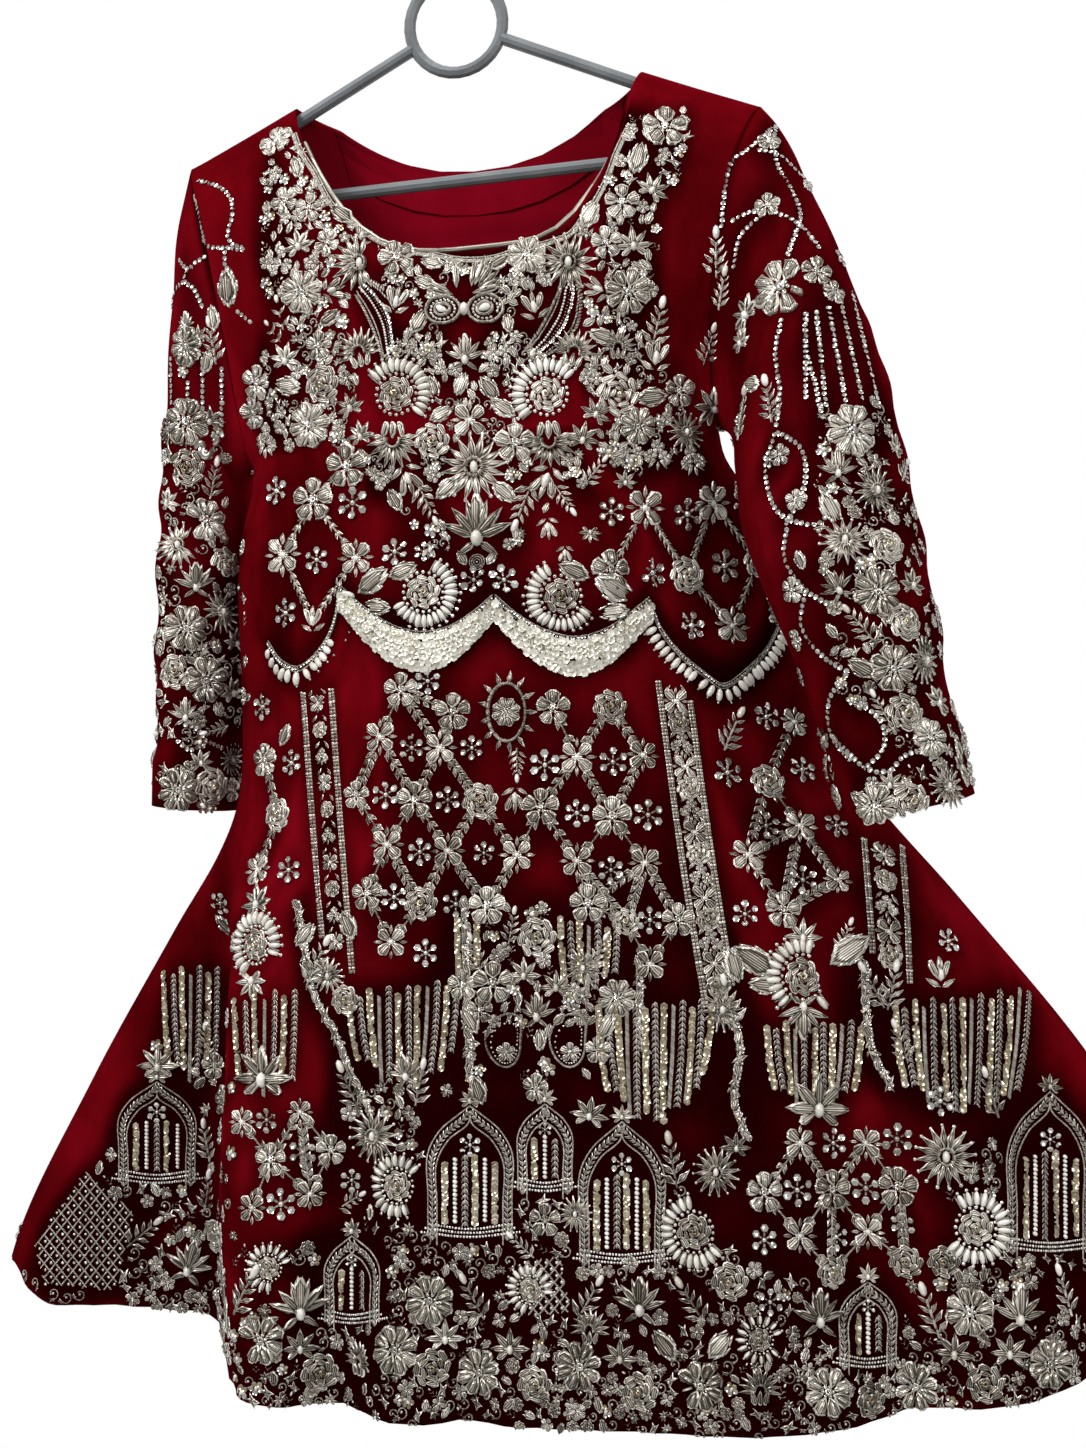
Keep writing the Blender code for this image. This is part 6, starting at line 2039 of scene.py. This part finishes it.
def bar_group(work, left, right, tops, bottoms, gap):
    """Upright lines side by side, their ends following a swag."""
    count = int((right - left) / gap)
    for i in range(count):
        share = (i + 0.5) / count
        x = left + (right - left) * share
        sag = math.sin(math.pi * share)
        top = tops[0] + (tops[1] - tops[0]) * share + 5.0 * math.sin(2.7 * i)
        bottom = bottoms[0] + (bottoms[1] - bottoms[0]) * share + bottoms[2] * sag + 6.0 * math.cos(1.9 * i)
        lean = 2.0 * math.sin(1.3 * i) + (0.5 - share) * BAR_CONVERGE * (right - left)
        path = [(x, top), (x + lean * 0.3, (top + bottom) / 2), (x + lean, bottom)]
        LINES[BAR_KINDS[i % len(BAR_KINDS)]](path, work)
        work.taken += [(x, place, BAR_CLEAR) for place in np.arange(top, bottom, TAKEN_GAP)]


def arch(work, middle, top, bottom, half):
    """A pointed arch of double cord with upright lines in it, on a stepped base of bead rows."""
    height = bottom - top
    spring = top + height * 0.36
    outline = [(half, bottom), (half, (bottom + spring) / 2), (half, spring),
               (half * 0.72, spring - height * 0.17), (half * 0.25, top + height * 0.06), (0.0, top)]
    for side in (-1, 1):
        for inset, kind in ARCH_RAIL:
            LINES[kind]([(middle + side * (x - inset if x else 0.0), y + inset) for x, y in outline], work)
    place_motifs(work, (("lily", middle, top - 8, 12),
                        ("star", middle, spring - height * 0.06, half * 0.24)))
    width = 2 * (half - ARCH_MARGIN)
    count = max(2, int(width / ARCH_LINE_GAP))
    for i in range(count):
        x = middle - width / 2 + width * (i + 0.5) / count
        peak = spring + abs(x - middle) / half * height * 0.10
        path = [(x, peak), (x, (peak + bottom) / 2), (x, bottom - ARCH_MARGIN)]
        LINES[ARCH_KINDS[i % len(ARCH_KINDS)]](path, work)
    for step in range(3):
        reach, y = half + 4 * step, bottom - 12 + 4.0 * step
        path = [(middle - reach, y), (middle, y + 5), (middle + reach, y)]
        run(work, path, 1.9, lambda i: [("dot", 0.0, 0.0, 0.0, 0.9, 0.9, 1.0, BEAD if i % 3 else PEARL)])
    work.taken += [(x, y, ARCH_CLEAR) for y in np.arange(top, bottom, TAKEN_GAP)
                   for x in np.arange(middle - half, middle + half + 1, TAKEN_GAP)]


def diaper(work, polygon, gap):
    """Crossed cords with a bead in each diamond."""
    xs, ys = zip(*polygon)
    reach = max(ys) - min(ys)
    for way in (-1, 1):
        for start in np.arange(min(xs) - reach, max(xs) + reach, gap):
            line = [(start + way * share * reach * 0.8, min(ys) + share * reach)
                    for share in np.linspace(0, 1, 60)]
            kept = [point for point in line if inside(polygon, *point)]
            if len(kept) > 4:
                run(work, [kept[0], kept[-1]], 1.3, lambda i: [("bar", 0.0, 0.0, 24.0, 0.9, 0.5, 0.8, ROPE)])
    row_gap = gap * 0.62
    for y in np.arange(min(ys), max(ys), row_gap):
        for x in np.arange(min(xs), max(xs), gap) + gap / 2 * (int(y / row_gap) % 2):
            frame_at = work.ground.seen(x, y) if inside(polygon, x, y) else None
            if frame_at is not None:
                work.lay(frame_at, [("bead", 0.0, 0.0, 0.0, 1.1, 1.1, 1.1, BEAD)])
    work.taken += [(x, y, DIAPER_CLEAR) for y in np.arange(min(ys), max(ys), 8.0)
                   for x in np.arange(min(xs), max(xs), 8.0) if inside(polygon, x, y)]


def frill(work, path):
    """Rows of overlapping cream sequins that hang under a scallop, deepest at its middle."""
    first, last = path[0][0], path[-1][0]
    for row in range(FRILL_ROWS, -1, -1):
        lower = []
        for x, y in path:
            swell = math.sin(math.pi * (x - first) / (last - first))
            lower.append((x, y + FRILL_START + row * (FRILL_GAP + FRILL_SWELL * swell)))
        lift = 1.2 + 0.35 * (FRILL_ROWS - row)
        run(work, lower, 3.5, lambda i, row=row, lift=lift: [
            ("disc", 1.75 * (row % 2), 0.5 * math.sin(2.3 * i + row), 0.0, 2.7, 2.7,
             lift + 0.2 * (i % 3), CREAM)])


def scallop_edge(work, scallop):
    """The edge of a scallop: a chain of sequins between two cords."""
    for offset, kind in SCALLOP_EDGE:
        LINES[kind]([(x, y + offset) for x, y in scallop], work)


def neck_path(shift):
    """The neckline's edge as seen, moved out onto the cloth by so many pixels, a little uneven."""
    edge = np.array(NECK_EDGE, float)
    away = unit(edge - NECK_CENTRE)
    return edge + away * (shift + NECK_UNEVEN * np.sin(2.1 * np.arange(len(edge))))[:, None]


def embroider_bib(ground):
    """The bib: round flowers at the breast, motifs to the neckline and its edge in cord and coil."""
    work = Work("bib_work", ground, 11, (0.3, 1.1))
    place_fans(work, BIB_FANS)
    place_motifs(work, NECK_ROWS)
    place_motifs(work, BIB_ROWS)
    for shift, kind in NECK_LINES:
        LINES[kind](neck_path(shift), work)
    fill(work, NECK_AREA, 10.5, ("bud", "leaf", "knot", "leaf", "flower", "sprig"), 6.8)
    fill(work, BIB_AREA, 9.5, ("leaf", "curl", "flower", "leaf", "curl", "bud", "lily", "knot"), 6.6)
    return work


def embroider_waist(ground):
    """The scallops at the waist with their frills and pearls, and the lattice round them."""
    work = Work("waist_work", ground, 12)
    for scallop in INNER_SCALLOPS:
        frill(work, scallop)
        scallop_edge(work, scallop)
    for scallop, side in zip(OUTER_SCALLOPS, (1.0, -1.0)):
        scallop_edge(work, scallop)
        tassel = [("pearl", 0.0, side * 6.4, 90.0, 4.5, 2.25, 2.6, PEARL),
                  ("bead", 0.0, side * 11.4, 0.0, 0.8, 0.8, 1.0, BEAD)]
        run(work, scallop, 4.7, lambda i, tassel=tassel: tassel)
    place_fans(work, WAIST_FANS)
    place_motifs(work, WAIST_ROWS)
    place_motifs(work, WAIST_NODES)
    link_nodes(work, WAIST_NODES, (34.0, 92.0), (8.0, 4.0))
    return work


def embroider_skirt(ground):
    """The skirt's upright strips, round flowers and lattice."""
    work = Work("skirt_work", ground, 13)
    for left, right, gap in STRIPS:
        strip_rails(work, left, right, gap)
    place_fans(work, SKIRT_FANS)
    place_motifs(work, SKIRT_NODES)
    place_motifs(work, SKIRT_ROWS)
    link_nodes(work, SKIRT_NODES, (34.0, 86.0), (8.5, 6.5))
    return work


def embroider_bars(ground):
    """The fringe of upright lines, the garlands through it and the posy at its middle."""
    work = Work("fringe_work", ground, 17, (0.0, 0.8))
    place_motifs(work, POSY_ROWS)
    for group in BAR_GROUPS:
        bar_group(work, *group)
    for path in GARLANDS:
        for shift, kind in GARLAND_LINES:
            LINES[kind]([(x + shift, y) for x, y in path], work)
        for i, frame_at in enumerate(path_frames(work.ground, path, GARLAND_GAP)):
            name, size = GARLAND_MOTIFS[i % len(GARLAND_MOTIFS)]
            work.lay(frame_at, motif(name, size), GARLAND_TURN if i % 2 else -GARLAND_TURN)
    fill(work, POSY_AREA, 12.0, ("leaf", "knot", "flower", "bud", "sprig"), 7.5)
    return work


def embroider_arches(ground):
    """The arches of the band above the hem, its crossed cords, round flowers and lattice."""
    work = Work("arch_work", ground, 14, (0.0, 0.9))
    for row in ARCH_ROWS:
        arch(work, *row)
    for polygon, gap in DIAPER_ROWS:
        diaper(work, polygon, gap)
    place_fans(work, HEM_FANS)
    place_motifs(work, HEM_NODES)
    link_nodes(work, HEM_NODES, (34.0, 86.0), (8.5, 6.5))
    return work


def embroider_hem(ground, arches):
    """Motifs down to the hem, and small ones in all that the arches leave free."""
    work = Work("hem_work", ground, 18, (-0.2, 0.7))
    work.taken = list(arches.taken)
    place_motifs(work, HEM_ROWS_SEEN)
    fill(work, LOWER_AREA, 13.5, EDGE_SETS, 7.4)
    fill(work, UPPER_HEM_AREA, 12.5, EDGE_SETS, 7.4)
    return work


def embroider_sleeve(name, grounds, seed, rows, chains, falls, areas):
    """A sleeve's side in the photo: chains and hanging lines of sequins, motifs, and filled regions."""
    work = Work(name, Nearest(*grounds), seed)
    straight = [((x0, y0), ((x0 + x1) / 2, (y0 + y1) / 2), (x1, y1)) for x0, y0, x1, y1 in falls]
    for path in (*chains, *straight):
        chain(path, work, SLEEVE_SEQUIN)
    place_motifs(work, rows)
    for area in areas:
        fill(work, area, 11.5, EDGE_SETS, 8.0)
    return work


def lay_ring(work, rise, gap, names, size, hidden, shift=0.0):
    """Motifs at even spacing along the cloth, so far above its hem, where the photo doesn't show it."""
    rows, columns, across = work.ground.ring(rise)
    for i, at in enumerate(np.arange(gap / 2 + shift, across[-1] - gap / 4, gap)):
        frame_at = work.ground.on_grid(np.interp(at, across, rows), np.interp(at, across, columns))
        if hidden(frame_at):
            parts = motif(names[i % len(names)], size * work.dice.uniform(*RING_SIZES))
            work.lay(frame_at, parts, work.dice.uniform(-RING_TURN, RING_TURN))


def embroider_hidden(name, ground, seed, border, scatter, hidden):
    """The border and scattered flowers of a side that the photo doesn't show."""
    work = Work(name, ground, seed)
    for rise, gap, names, size in border:
        lay_ring(work, rise, gap, names, size, hidden)
    rises, gap, names, size = scatter
    for i, rise in enumerate(np.arange(*rises)):
        lay_ring(work, rise, gap, names[::-1] if i % 2 else names, size, hidden, gap / 2 * (i % 2))
    return work


def anywhere(frame_at):
    """True at every place of a cloth that the photo doesn't show at all."""
    return frame_at is not None


def unseen(frame_at):
    """True where the cloth faces away from the photo's camera."""
    ray = frame_at[0] - camera_frame()[0]
    return frame_at[3] @ unit(ray) > UNSEEN_TURN


def paint_work_shade(obj, grid, closed, works):
    """Painted shade on a cloth under and beside its work: tone is 0 on bare pile and 1 in close work."""
    rows, columns = grid.shape[:2]
    tree = KDTree(rows * columns)
    for i, point in enumerate(grid.reshape(-1, 3).tolist()):
        tree.insert(point, i)
    tree.balance()
    tone = np.zeros(rows * columns)
    for work in works:
        for row in work.rows:
            tone[tree.find(row[POINT])[1]] += 1.0
    tone = tone.reshape(rows, columns)
    for _ in range(WORK_SHADE_SPREAD):
        for axis in (0, 1):
            tone = (np.roll(tone, 1, axis) + 2 * tone + np.roll(tone, -1, axis)) / 4
    if not closed:
        tone[:, [0, -1]] *= 0.5
    tone = 1.0 - np.exp(-tone / WORK_SHADE_FULL)
    store(obj, "tone", np.concatenate([tone.ravel(), np.zeros(len(obj.data.vertices) - tone.size)]))


def make_cloth():
    """The four cloth shells, each one's outer grid and the lining's material."""
    velvet, lining = (velvet_material(*row) for row in VELVETS)
    shells, grids = {}, {}
    for side in FLAT_CUT:
        closed = side in ("left", "right")
        kind = "_sleeve" if closed else ""
        grids[side], inner = (fine_sleeve if closed else fine_panel)(side)
        shell = make_shell(side + kind + "_cloth", grids[side], inner, closed, [velvet, lining])
        shells[side] = finish_piece(shell, [side + (kind or "_panel")])
    return shells, grids, lining


def make_side_seam(name, path, material):
    """The rounded seam that closes the front onto the back, along the front's own edge."""
    ways = unit(np.gradient(path, axis=0))
    side = unit(np.cross(ways, (0.0, 1.0, 0.0)))
    up = np.cross(side, ways)
    turns = np.arange(SIDE_SEAM_SIDES)[None, :, None] * 2 * np.pi / SIDE_SEAM_SIDES
    rings = path[:, None] + SIDE_SEAM_RADIUS * (side[:, None] * np.cos(turns) + up[:, None] * np.sin(turns))
    quads = grid_quads(len(path), SIDE_SEAM_SIDES, True)
    return finish_piece(make_mesh(name, rings.reshape(-1, 3), quads, [material]))


def embroider(grids):
    """All the hand work, by the cloth that it is sewn to."""
    grounds = {side: Ground(outer, side in ("left", "right")) for side, outer in grids.items()}
    front, back, left, right = (grounds[side] for side in ("front", "back", "left", "right"))
    arches = embroider_arches(front)
    return {
        "front": [embroider_bib(front), embroider_waist(front), embroider_skirt(front),
                  embroider_bars(front), arches, embroider_hem(front, arches),
                  embroider_hidden("side_work", front, 22, BACK_BORDER, BACK_SCATTER, unseen)],
        "back": [embroider_hidden("back_work", back, 21, BACK_BORDER, BACK_SCATTER, anywhere)],
        "right": [embroider_sleeve("right_sleeve_work", (right, front), 15, RIGHT_ROWS, RIGHT_CHAINS,
                                   RIGHT_FALLS, (RIGHT_AREA, RIGHT_CUFF)),
                  embroider_hidden("right_sleeve_back_work", right, 23, CUFF_BORDER, SLEEVE_SCATTER,
                                   unseen)],
        "left": [embroider_sleeve("left_sleeve_work", (left, front), 16, LEFT_ROWS, LEFT_CHAINS,
                                  LEFT_FALLS, (LEFT_AREA, LEFT_CUFF)),
                 embroider_hidden("left_sleeve_back_work", left, 24, CUFF_BORDER, SLEEVE_SCATTER, unseen)],
    }


def main():
    """The camera, the studio and all the pieces."""
    make_camera()
    make_studio()
    plastic = plastic_material()
    shells, grids, lining = make_cloth()
    sewn = embroider(grids)
    # Painted shade on the cloth under and beside its work
    for side in ("front", "right", "left"):
        paint_work_shade(shells[side], grids[side], side != "front", sewn[side])
    materials = [metal_material(*row) for row in METALS]
    edging = metal_material(*EDGING)
    velvet = shells["front"].data.materials[0]
    seams = [make_side_seam(side + "_seam", grids["front"][FINE_YOKE:, column], velvet)
             for side, column in (("left", 0), ("right", -1))]
    for side, works in sewn.items():
        pieces = [finish_piece(work.make(materials)) for work in works]
    for name, material in (("hanger_ring", plastic), ("hanger_frame", plastic),
                           ("back_neck_facing", lining), ("neckline_cord", edging)):
        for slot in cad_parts[name].material_slots:
            slot.material = material
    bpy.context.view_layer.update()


main()
